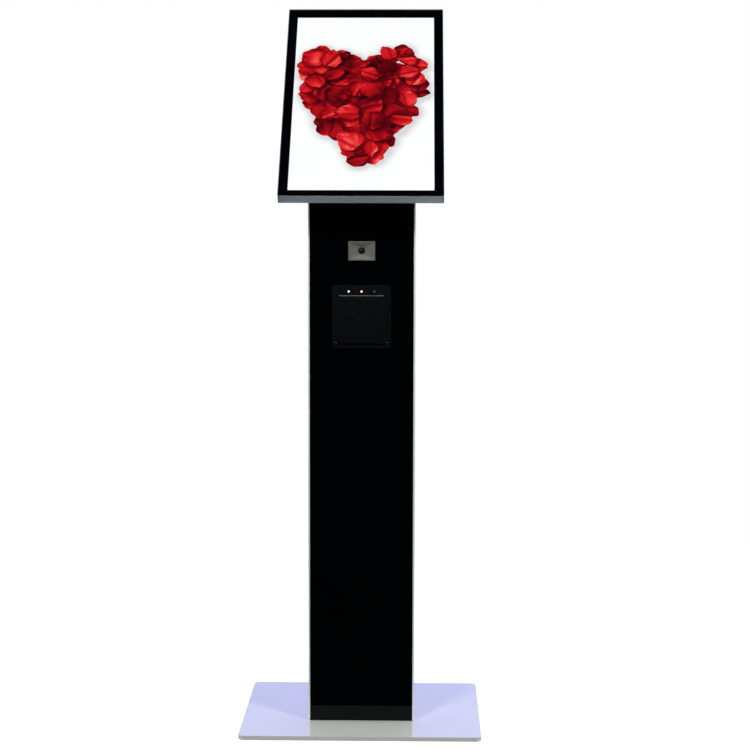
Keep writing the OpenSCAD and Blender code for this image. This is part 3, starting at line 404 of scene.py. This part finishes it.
finishes["brass_parts"] = add_grain(new_finish(
    "turned_brass", "#C9A45C", 0.28, 1.0),
    0.8, bump_mm=0.003, stretch=(1, 8, 8), rough=0.05, second="#BC9650")
print(len(finishes), "finishes with the metals")

# %% [markdown]
# ### Plastics, rubber and the rest
# A moulded case takes the gloss of a polished mould or a fine spark texture. Rubber, foam, card
# and paper are rough and matt. Each changes slightly in colour over a few millimetres, because no
# real one is perfectly even.

# %% Plastics and soft materials
finishes["black_gloss_plastic"] = add_grain(new_finish(
    "gloss_black_moulded_abs", "#07090C", 0.16, IOR=1.53),
    5.0, bump_mm=0.006, rough=0.03, second="#0A0C10")
finishes["black_plastic"] = add_grain(new_finish(
    "spark_textured_black_nylon", "#161617", 0.5, IOR=1.53),
    0.5, bump_mm=0.02, rough=0.08, second="#1E1E1F")
finishes["grey_plastic"] = add_grain(new_finish(
    "grey_moulded_abs", "#4B4C4E", 0.48, IOR=1.53),
    0.6, bump_mm=0.015, rough=0.06, second="#545557")
finishes["button_plastic"] = add_grain(new_finish(
    "grey_polished_button", "#5C5E63", 0.25, IOR=1.5),
    1.5, bump_mm=0.003, rough=0.04, second="#66686D")
finishes["red_plastic"] = add_grain(new_finish(
    "red_rocker_polycarbonate", "#A51A14", 0.22, IOR=1.58, Coat_Weight=0.2),
    4.0, rough=0.04, second="#B3221A")
finishes["gear_plastic"] = add_grain(new_finish(
    "white_acetal", "#DAD7CC", 0.38, IOR=1.48),
    1.5, bump_mm=0.004, rough=0.05, second="#E2E0D6")
finishes["black_rubber"] = add_grain(new_finish(
    "moulded_black_rubber", "#141414", 0.78, IOR=1.52),
    0.8, bump_mm=0.02, rough=0.08, second="#1C1C1C")
finishes["cable_sheath"] = add_grain(new_finish(
    "extruded_black_pvc", "#1A1A1C", 0.5, IOR=1.53),
    1.5, bump_mm=0.01, rough=0.06, second="#222224")
finishes["foam_tape"] = add_grain(new_finish(
    "black_foam_tape", "#1E1E1E", 0.95, IOR=1.4), 0.4, bump_mm=0.05, second="#2A2A2A", detail=4)
finishes["thermal_paper"] = add_grain(new_finish(
    "smooth_thermal_paper", "#ECEBE4", 0.62, IOR=1.45),
    0.9, bump_mm=0.004, rough=0.05, second="#F1F0EA")
finishes["core_card"] = add_grain(new_finish(
    "wound_grey_card", "#8A6E4B", 0.85, IOR=1.45),
    0.7, bump_mm=0.03, stretch=(6, 1, 1), second="#7A6040")
finishes["ceramic_head"] = add_grain(new_finish(
    "glazed_alumina_ceramic", "#CCC5B0", 0.2, IOR=1.6), 2.0, rough=0.05, second="#D5CFBC")
finishes["board_green"] = add_grain(new_finish(
    "green_solder_mask", "#0D3A20", 0.3, IOR=1.5),
    3.0, bump_mm=0.02, rough=0.06, second="#15522D", detail=5)
print(len(finishes), "finishes so far")

# %% [markdown]
# ### Glass
# The column's front is clear glass painted black on its back, so the eye sees a polished surface
# over black. The touch glass is really clear, because the picture lies behind it. The lens has a
# dark violet coating.

# %% Glass
finishes["black_glass"] = add_grain(new_finish(
    "back_painted_black_glass", "#010203", 0.025, IOR=1.38, Specular_IOR_Level=0.2),
    60.0, rough=0.01, second="#020304")
finishes["clear_glass"] = add_grain(new_finish(
    "clear_toughened_glass", "#FFFFFF", 0.0, IOR=1.5, Transmission_Weight=1.0),
    80.0, second="#FCFEFD")
finishes["lens_glass"] = add_grain(new_finish(
    "violet_coated_lens", "#020308", 0.05, IOR=1.45, Coat_Weight=0.3, Coat_Roughness=0.03,
    Coat_Tint=linear("#8C7BE0")), 3.0, rough=0.01, second="#070712")
print("glass:", finishes["black_glass"].name, finishes["clear_glass"].name)

# %% [markdown]
# ### Two parts with a finish of their own
# The border behind the touch glass is a fired ceramic ink, which is black and quite matt. The tear
# bar is blasted, so that it spreads light and shows as a pale line across the printer. Both share
# their material slot with other parts, so a small dictionary overrides the slot for them alone.

# %% Ink and tear bar
OWN_FINISH = {}
OWN_FINISH["screen_border"] = add_grain(new_finish(
    "black_ceramic_border_ink", "#080B0F", 0.9, IOR=1.5, Specular_IOR_Level=0.0),
    1.0, rough=0.05, second="#0A0D11")
OWN_FINISH["tear_bar"] = add_grain(new_finish(
    "blasted_steel_tear_bar", "#D2D4D7", 0.6, 1.0),
    0.4, bump_mm=0.003, rough=0.05, second="#C8CACD")
print("own finishes:", ", ".join(OWN_FINISH))

# %% [markdown]
# ### Lamps
# A lamp is a clear dome with a light behind it. The eye sees a nearly white middle and a coloured
# rim, so the glow follows the distance from the lamp's axis. A plain emission colour would look
# like a flat sticker.

# %% Lamps
CORE_SHARE = 0.6  # of the dome's radius, inside which the glow is even


def lit_dome(name, rim_colour, core_colour, middle, radius_mm, power):
    """A lamp that glows core_colour in the middle and rim_colour at its edge, seen from the front."""
    finish = new_finish(name, rim_colour, 0.25, IOR=1.49)
    tree = finish.node_tree
    shader = tree.nodes["Principled BSDF"]
    where = add_node(tree, "ShaderNodeTexCoord")
    centred = add_node(tree, "ShaderNodeMapping", links={"Vector": where.outputs["Object"]},
                       values={"Location": (-middle.x, 0, -middle.z), "Scale": (1, 0, 1)})
    reach = add_node(tree, "ShaderNodeVectorMath", operation="LENGTH",
                     links={"Vector": centred.outputs["Vector"]})
    radius = radius_mm * MM
    ramp = add_node(tree, "ShaderNodeMapRange", links={"Value": reach.outputs["Value"]},
                    values={"From Min": radius * CORE_SHARE, "From Max": radius})
    mix = add_node(tree, "ShaderNodeMix", data_type="RGBA", links={"Factor": ramp.outputs["Result"]})
    core, rim = [s for s in mix.inputs if s.type == "RGBA"]
    core.default_value, rim.default_value = linear(core_colour), linear(rim_colour)
    result = [s for s in mix.outputs if s.type == "RGBA"][0]
    tree.links.new(result, shader.inputs["Emission Color"])
    shader.inputs["Emission Strength"].default_value = power
    return finish


def middle_of(node):
    """The middle of a CAD node's box."""
    low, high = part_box(node)
    return (low + high) / 2


finishes["lamp_green"] = lit_dome(
    "lit_green_lamp", "#DDEBA8", "#FFFFFF", middle_of("power_lamp"), 1.5, 2.4)
finishes["lamp_orange"] = lit_dome(
    "lit_orange_lamp", "#FF4416", "#FFF6E6", middle_of("paper_lamp"), 1.7, 3.2)
finishes["lcd"] = add_grain(new_finish("display_panel_white_case", "#C4C6CA", 0.5, IOR=1.5),
                            2.0, rough=0.05, second="#CCCED1")
print(len(finishes), "finishes, each under its material slot's name")

# %% [markdown]
# ## Rounding the edges
# Nothing made of steel, glass or plastic has perfectly sharp edges: sheet is deburred, glass has a
# ground arris and a mould can't be sharp. A thin rounded edge catches a line of light, and that
# line is what makes a shape read as real. A Bevel modifier would trip over the CAD mesh's loose
# triangles, and a CAD node's mesh is never changed. So each visible node is copied, its triangles
# are joined, its sharp edges are bevelled and the copy stands for it. The column's shell is folded
# from sheet, so its four outer corners get a larger radius first.

# %% The rounding helper
SHARP = math.radians(40)  # edges that turn by more than this get rounded
FLAT = math.radians(0.3)  # and loose triangles that turn by less are joined into one face
FOLDS_MM = {"column_shell": 2.0}


def fold_corners(work, radius_mm):
    """Rounds the long upright outer corners, where the sheet is folded."""
    outer = max(abs(v.co.x) for v in work.verts) - 0.1 * MM
    upright = []
    for edge in work.edges:
        rise, length = abs(edge.verts[0].co.z - edge.verts[1].co.z), edge.calc_length()
        if length > 0.3 and rise > 0.99 * length and edge.calc_face_angle(0) > SHARP:
            upright.append(edge)
    corners = [edge for edge in upright if abs(edge.verts[0].co.x) > outer]
    bmesh.ops.bevel(work, geom=corners, offset=radius_mm * MM, offset_type="OFFSET", segments=5,
                    profile=0.5, affect="EDGES", clamp_overlap=False, material=-1)
    print(len(corners), "folds rounded by", radius_mm, "mm")


def rounded_copy(node, edge_mm):
    """A joined copy of a CAD node with its sharp edges rounded by edge_mm, riding on its body."""
    source = frame["nodes"][node]
    slot = source.data.materials[0].name
    work = bmesh.new()
    work.from_mesh(source.data)
    bmesh.ops.remove_doubles(work, verts=work.verts, dist=1e-6)
    bmesh.ops.dissolve_limit(work, angle_limit=FLAT, verts=work.verts, edges=work.edges)
    if node in FOLDS_MM:
        fold_corners(work, FOLDS_MM[node])
    edges = [e for e in work.edges if len(e.link_faces) == 2 and e.calc_face_angle(0) > SHARP]
    bmesh.ops.bevel(work, geom=edges, offset=edge_mm * MM, offset_type="OFFSET", segments=3,
                    profile=0.5, affect="EDGES", clamp_overlap=True, material=-1)
    for face in work.faces:
        face.smooth = True
    piece = new_object(node + "_finished", work)
    piece.data.materials.append(OWN_FINISH.get(node, finishes[slot]))
    weighted = piece.modifiers.new("even_shading", "WEIGHTED_NORMAL")
    weighted.keep_sharp, weighted.weight = True, 100
    body = body_of(source)
    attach(piece, body[0] if isinstance(body, list) else body)
    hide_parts(node)
    print(f"{node}: {len(edges)} edges rounded by {edge_mm} mm, {len(piece.data.polygons)} faces")


# %% [markdown]
# ### The camera's face plate
# The plate is a small pressed dish: inside a flat rim it slopes in from all four sides towards the
# lens, so that the lower side catches the light and the upper side falls darker. Loops tell this
# shape best. A circle's points are moved onto a rounded rectangle, one loop is made for each step
# forward and inward, and bridges join each loop to the next, to the round hole for the lens and
# back along the plate's rear.

# %% Face plate from loops
def plate_loop(work, wide, high, corner, y, middle, points=64):
    """A ring of edges on a rounded rectangle at depth y, counted from its centre in metres."""
    ring = bmesh.ops.create_circle(work, cap_ends=False, segments=points, radius=1.0)["verts"]
    for index, point in enumerate(ring):
        around = 2 * math.pi * (index + 0.5) / points
        cx, cz = math.cos(around), math.sin(around)
        x = math.copysign(wide / 2 - corner, cx) + corner * cx
        z = math.copysign(high / 2 - corner, cz) + corner * cz
        point.co = (middle.x + x, y, middle.z + z)
    return list({e for point in ring for e in point.link_edges})


def camera_face():
    """Makes the dished plate in the place of the CAD one, with a round hole for the lens."""
    low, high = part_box("camera_plate")
    middle, wide, tall = (low + high) / 2, high.x - low.x, high.z - low.z
    hole, corner, rim, dish, edge = 13.6 * MM, 1.5 * MM, 2.6 * MM, 0.6 * MM, 0.2 * MM
    work = bmesh.new()
    rings = [  # width, height, corner and depth of each loop, from the rear round by the front
        (wide, tall, corner, high.y),
        (wide, tall, corner, low.y + 2 * edge),
        (wide - 3 * edge, tall - 3 * edge, corner, low.y),
        (wide - 2 * rim, tall - 2 * rim, corner * 0.6, low.y),
        (wide - 2.2 * rim, tall - 2.2 * rim, corner * 0.6, low.y + edge / 2),
        (hole + 2 * edge, hole + 2 * edge, hole / 2 + edge, low.y + dish),
        (hole, hole, hole / 2, low.y + dish + edge),
        (hole, hole, hole / 2, high.y)]
    loops = [plate_loop(work, *ring, middle) for ring in rings]
    for first, second in zip(loops, loops[1:] + loops[:1]):
        bmesh.ops.bridge_loops(work, edges=first + second)
    bmesh.ops.recalc_face_normals(work, faces=work.faces)
    piece = new_object("camera_face_plate", work)
    piece.data.materials.append(finishes["stainless"])
    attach(piece, "cabinet")
    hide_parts("camera_plate")
    print(f"face plate: {wide / MM:.1f} by {tall / MM:.1f} mm, {len(piece.data.polygons)} faces")


camera_face()

# %% [markdown]
# ### The rounded pieces
# A laser-cut plate that people lean against is broken by about a millimetre, a moulding or a
# ground glass by half of that, and a screw or a lamp hardly at all. The list holds the parts whose
# edges can be seen from outside.

# %% Rounded pieces
EDGES_MM = {
    "base_plate": 1.0, "column_foot": 0.4, "column_shell": 0.5, "front_glass": 0.6,
    "head_mount_plate": 0.5, "service_door": 0.6, "door_frame": 0.4, "head_frame": 0.5,
    "touch_glass": 0.5, "head_housing": 0.8, "head_back_plate": 0.4, "printer_bezel": 0.5,
    "printer_door": 0.4, "camera_barrel": 0.2, "power_lamp": 0.2, "paper_lamp": 0.2,
    "feed_button": 0.3, "tear_bar": 0.1, "mains_inlet": 0.4, "rocker_bezel": 0.4,
    "power_rocker": 0.5, "lock_body": 0.3, "lock_plug": 0.2, "column_hinges": 0.2,
    "door_hinge_leaves": 0.2, "fan_frame": 0.4, "base_fasteners": 0.2, "small_screws": 0.1,
}
for node, edge_mm in EDGES_MM.items():
    rounded_copy(node, edge_mm)

# %% [markdown]
# ## The other frame parts
# Parts inside the column and the head keep their CAD shape, which is already right. They only take
# their finish, from the slot that each one has in the frame.

# %% Finishes on the frame
for node, part in frame["nodes"].items():
    slot = part.data.materials[0].name
    part.data.materials[0] = OWN_FINISH.get(node, finishes[slot])
print(len(frame["nodes"]), "frame parts have their finish")

# %% [markdown]
# ## The picture on the display
# The display shows a heart of red petals on white, a common sort of picture made here from
# scratch. A picture is light and shade, so each petal is first modelled in full relief, its light
# is worked out from its normals and stored as a colour on its points, and then it is pressed flat
# into the one millimetre gap between the display panel and the touch glass.

# %% The display's plane
LEAN = math.radians(45)
UP = Vector((0, math.cos(LEAN), math.sin(LEAN)))
OUT = Vector((0, -math.sin(LEAN), math.cos(LEAN)))
FRAME_DEPTH = 18 * MM
frame_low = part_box("head_frame")[0]
head_foot = Vector((0, frame_low.y, frame_low.z + FRAME_DEPTH * math.cos(LEAN)))
display_plane = Matrix(((1, 0, 0), UP, OUT)).transposed().to_4x4()
display_plane.translation = head_foot
WINDOW_LOW, WINDOW_WIDE, WINDOW_HIGH = 17.0, 268.0, 476.0  # mm, low is above the head's foot
print("the display's lower edge is at", [round(c / MM, 1) for c in head_foot])

# %% [markdown]
# ### Where the petals lie
# The heart is two arches over a V. Points are thrown at it from a seeded list, and one is kept if
# it falls inside and not too near another, which spreads the petals evenly but without rows. Some
# near the outline are left out, which makes it ragged. Each petal then gets its own size, turn,
# cup and curl.

# %% Scatter the petals
HEART_TIP, HEART_TOP, HEART_HALF_WIDE = 84.0, 396.0, 112.0  # mm in the display's plane
PETAL_GAP, THROWS = 19.5, 9000
RAGGED_RIM, LEFT_OUT = 0.08, 0.35  # so deep into the outline, this share of the points is left out
SIDE, SIDE_TAPER = 104.0, 0.75  # petals further out than this are shorter by so much for each mm
chance = np.random.default_rng(21)


def depth_in_heart(x, v):
    """How far inside the outline a point is, as a share of the heart's height; negative outside."""
    a, b = abs(x) / HEART_HALF_WIDE, (v - HEART_TIP) / (HEART_TOP - HEART_TIP)
    arch = 0.68 + 0.32 * math.sqrt(max(0.0, 1 - ((a - 0.56) / 0.56) ** 2))
    return min(arch - b, b - 0.62 * a ** 1.15, 1 - a)


petals = []
for _ in range(THROWS):
    x = chance.uniform(-HEART_HALF_WIDE, HEART_HALF_WIDE)
    v = chance.uniform(HEART_TIP, HEART_TOP)
    inside = depth_in_heart(x, v)
    if inside < 0 or chance.random() < LEFT_OUT and inside < RAGGED_RIM:
        continue
    if all(math.hypot(x - p["x"], v - p["v"]) > PETAL_GAP for p in petals):
        petals.append({
            "x": x, "v": v, "turn": chance.uniform(0, 2 * math.pi),
            "half": chance.uniform(20, 28) - SIDE_TAPER * max(0, abs(x) - SIDE),
            "narrow": chance.uniform(0.74, 1.0), "cup": chance.uniform(-0.5, 0.75),
            "curl": chance.uniform(-0.35, 0.4), "lean": chance.uniform(-0.5, 0.5, 2),
            "fold": chance.uniform(-0.7, 0.7), "fold_turn": chance.uniform(-0.6, 0.6),
            "wave": chance.uniform(0, 2 * math.pi, 3), "tone": chance.uniform(-0.24, 0.12)})
chance.shuffle(petals)
print(len(petals), "petals")

# %% [markdown]
# ### The relief and the light of a petal
# A rose petal is cupped, has a soft fold along it and fine veins, and its rim curls. The relief
# function gives its height, and the slope of that height gives the normal. The light comes from
# the upper left. A petal also darkens where one above it comes close, which is what makes a pile
# look deep.

# %% Relief, light and shade
LIGHT = np.array([-0.45, 0.52, 0.72]) / np.linalg.norm([-0.45, 0.52, 0.72])
SHADES = [(0.0, "#240104"), (0.22, "#6B050C"), (0.45, "#AE0D16"), (0.66, "#D81A20"),
          (0.85, "#EE3B3A"), (1.0, "#F8807A")]


def relief(p, x, y):
    """Height of a petal of half length one, at x across and y along it."""
    r, around = np.hypot(x, y), np.arctan2(x, y + 1.35)
    rim = np.clip((r - 0.6) / 0.4, 0, 1) ** 2
    across = x * np.cos(p["fold_turn"]) + y * np.sin(p["fold_turn"]) - p["fold"] * 0.5
    height = p["cup"] * (x * x + 0.5 * y * y) + p["lean"][0] * x + p["lean"][1] * y
    height = height + p["curl"] * rim * (0.6 + np.sin(2 * np.arctan2(y, x) + p["wave"][0]))
    height = height + p["fold"] * 0.35 * np.exp(-(across / 0.16) ** 2)
    height = height + 0.07 * rim * np.sin(5 * np.arctan2(y, x) + p["wave"][1])
    return height + 0.014 * np.sin(52 * around + p["wave"][2]) * r


def petal_light(p, x, y):
    """Lightness of a petal, from none to one, from its normals."""
    e = 0.02
    dx = (relief(p, x + e, y) - relief(p, x - e, y)) / (2 * e)
    dy = (relief(p, x, y + e) - relief(p, x, y - e)) / (2 * e)
    normal = np.stack([-dx, -dy, np.ones_like(dx)])
    normal /= np.linalg.norm(normal, axis=0)
    c, s = math.cos(p["turn"]), math.sin(p["turn"])
    light = np.array([c * LIGHT[0] + s * LIGHT[1], -s * LIGHT[0] + c * LIGHT[1], LIGHT[2]])
    facing = np.clip(np.tensordot(light, normal, 1), 0, 1)
    rim, claw = np.clip((np.hypot(x, y) - 0.82) / 0.18, 0, 1), np.clip(-y - 0.35, 0, 1)
    return 0.2 + 0.6 * facing ** 1.6 + 0.16 * facing ** 14 + 0.07 * rim - 0.2 * claw + p["tone"]


def closeness(p, x, v, shift, reach):
    """How near points are to a petal: one on it, none at reach half lengths past its rim."""
    c, s = math.cos(p["turn"]), math.sin(p["turn"])
    dx, dv = x - p["x"] - shift[0], v - p["v"] - shift[1]
    r = np.hypot((c * dx + s * dv) / (p["half"] * 0.95), (-s * dx + c * dv) / p["half"])
    return np.clip((1 + reach - r) / reach, 0, 1) ** 2


def shade_colours(lightness):
    """Linear colours for a row of lightness values."""
    stops = [stop for stop, _ in SHADES]
    chart = np.array([linear(colour) for _, colour in SHADES])
    return np.stack([np.interp(lightness, stops, chart[:, i]) for i in range(4)], axis=1)


print("from the darkest to the lightest:", *[colour for _, colour in SHADES])


# %% [markdown]
# ### Making and pressing the petals
# Each petal starts as a grid, is rounded into a disc, narrowed towards its claw and given a wavy
# rim. Its colour is stored, and then it goes flat into its own layer, a few thousandths of a
# millimetre above the last one. A Solidify modifier makes the sheets thin closed films.

# %% Model the petals
GRID = 12
LAYER_LOW, LAYER_HIGH = -3.86, -3.18  # mm, from the first petal's layer to the last one's
NEAR = 66  # mm, past which no petal shades another
PETAL_SHADOW, PETAL_REACH, PETAL_SHADE = (3.0, -3.5), 0.34, 0.62  # shift in mm, reach and darkness


def outline(p, a, b):
    """Turns a square grid of points into a petal's disc, wavy at its rim and narrow at its claw."""
    x, y = a * np.sqrt(1 - b * b / 2), b * np.sqrt(1 - a * a / 2)
    r, around = np.hypot(x, y), np.arctan2(y, x)
    ripples = 0.05 * np.sin(3 * around + p["wave"][1]) + 0.035 * np.sin(7 * around + p["wave"][2])
    wave = 1 + r * r * ripples
    notch = 1 - 0.13 * np.exp(-(x / 0.3) ** 2) * np.clip(y, 0, 1)
    waist = 0.62 + 0.38 * np.clip((y + 1) / 1.1, 0, 1) ** 0.7
    return x * wave * waist * p["narrow"], y * wave * notch


heart = bmesh.new()
light_layer = heart.verts.layers.float_color.new("picture_light")
for index, p in enumerate(petals):
    points = bmesh.ops.create_grid(heart, x_segments=GRID, y_segments=GRID, size=1.0)["verts"]
    a, b = np.array([q.co.x for q in points]), np.array([q.co.y for q in points])
    x, y = outline(p, a, b)
    lightness = petal_light(p, x, y)
    c, s = math.cos(p["turn"]), math.sin(p["turn"])
    flat_x, flat_v = p["x"] + p["half"] * (c * x - s * y), p["v"] + p["half"] * (s * x + c * y)
    shade = np.zeros_like(flat_x)
    for over in petals[index + 1:]:
        if math.hypot(over["x"] - p["x"], over["v"] - p["v"]) < NEAR:
            near = closeness(over, flat_x, flat_v, PETAL_SHADOW, PETAL_REACH)
            shade = np.maximum(shade, near)
    lightness = lightness * (1 - PETAL_SHADE * shade)
    depth = LAYER_LOW + (LAYER_HIGH - LAYER_LOW) * index / len(petals)
    for point, px, pv, colour in zip(points, flat_x, flat_v, shade_colours(lightness)):
        point.co = (px * MM, pv * MM, depth * MM)
        point[light_layer] = colour
widest = max(abs(q.co.x) for q in heart.verts) / MM
print("the heart reaches", round(widest, 1), "mm of the window's", WINDOW_WIDE / 2)

# %% [markdown]
# ### The picture's own light
# A display makes its light itself, so the stored colours go to the emission and nothing is
# mirrored by the picture. Each piece is turned from the flat drawing into the leaning display's
# plane, and gets the thickness of a film.

# %% The picture's own light
PICTURE_LIGHT = 1.13
FILM_MM, CELL_GRAIN_MM = 0.03, 1.2


def picture_finish(name, grain_mm):
    """A lit picture: its points' stored colour, with the faint grain of the display's cells."""
    finish = new_finish(name, "#000000", 0.6, IOR=1.3)
    tree = finish.node_tree
    shader = tree.nodes["Principled BSDF"]
    shader.inputs["Specular IOR Level"].default_value = 0.0
    stored = add_node(tree, "ShaderNodeAttribute", attribute_name="picture_light")
    where = add_node(tree, "ShaderNodeTexCoord")
    cells = add_node(tree, "ShaderNodeTexNoise", values={"Scale": 1 / (grain_mm * MM), "Detail": 1.0},
                     links={"Vector": where.outputs["Object"]})
    level = add_node(tree, "ShaderNodeMapRange", links={"Value": cells.outputs["Fac"]},
                     values={"From Min": 0.3, "From Max": 0.7, "To Min": 0.985, "To Max": 1.0})
    lit = add_node(tree, "ShaderNodeVectorMath", operation="SCALE",
                   links={"Vector": stored.outputs["Color"], "Scale": level.outputs["Result"]})
    tree.links.new(lit.outputs["Vector"], shader.inputs["Emission Color"])
    shader.inputs["Emission Strength"].default_value = PICTURE_LIGHT
    return finish


def press_into_display(work, name):
    """Makes the finished picture piece from a flat bmesh in the display's plane."""
    work.transform(display_plane)
    piece = new_object(name, work)
    piece.data.materials.append(picture_finish(name + "_light", CELL_GRAIN_MM))
    film = piece.modifiers.new("film", "SOLIDIFY")
    film.thickness, film.offset = FILM_MM * MM, -1
    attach(piece, "cabinet")
    print(name, len(piece.data.polygons), "faces")


press_into_display(heart, "picture_petals")

# %% [markdown]
# ### The white round the heart
# The rest of the picture is white, with a soft grey shadow under the heart that falls down and to
# the right, away from the light. A coarse grid is enough, because the shadow has no sharp edge.

# %% White ground with a soft shadow
GROUND_GAP, GROUND_DEPTH = 0.3, -3.9  # mm, left free inside the window, and under the first petal
HEART_SHADOW, HEART_REACH, HEART_SHADE = (2.5, -3.0), 0.8, 0.4  # shift in mm, reach and darkness
ground = bmesh.new()
light_layer = ground.verts.layers.float_color.new("picture_light")
bmesh.ops.create_grid(ground, x_segments=66, y_segments=118, size=0.5)
spots = list(ground.verts)
gx = np.array([q.co.x for q in spots]) * (WINDOW_WIDE - GROUND_GAP)
gv = np.array([q.co.y for q in spots]) * (WINDOW_HIGH - GROUND_GAP) + WINDOW_LOW + WINDOW_HIGH / 2
under = np.zeros_like(gx)
for p in petals:
    under = np.maximum(under, closeness(p, gx, gv, HEART_SHADOW, HEART_REACH))
white, grey = np.array(linear("#FEFEFE")), np.array(linear("#8E8A90"))
for spot, px, pv, share in zip(spots, gx, gv, HEART_SHADE * under):
    spot.co = (px * MM, pv * MM, GROUND_DEPTH * MM)
    spot[light_layer] = white * (1 - share) + grey * share
press_into_display(ground, "picture_white")

# %% [markdown]
# ## The size
# The finished object must be as large as the CAD object, so its box is printed in millimetres.

# %% Size of the finished object
low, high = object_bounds()
print("visual box in mm:", [round((b - a) / MM, 1) for a, b in zip(low, high)])
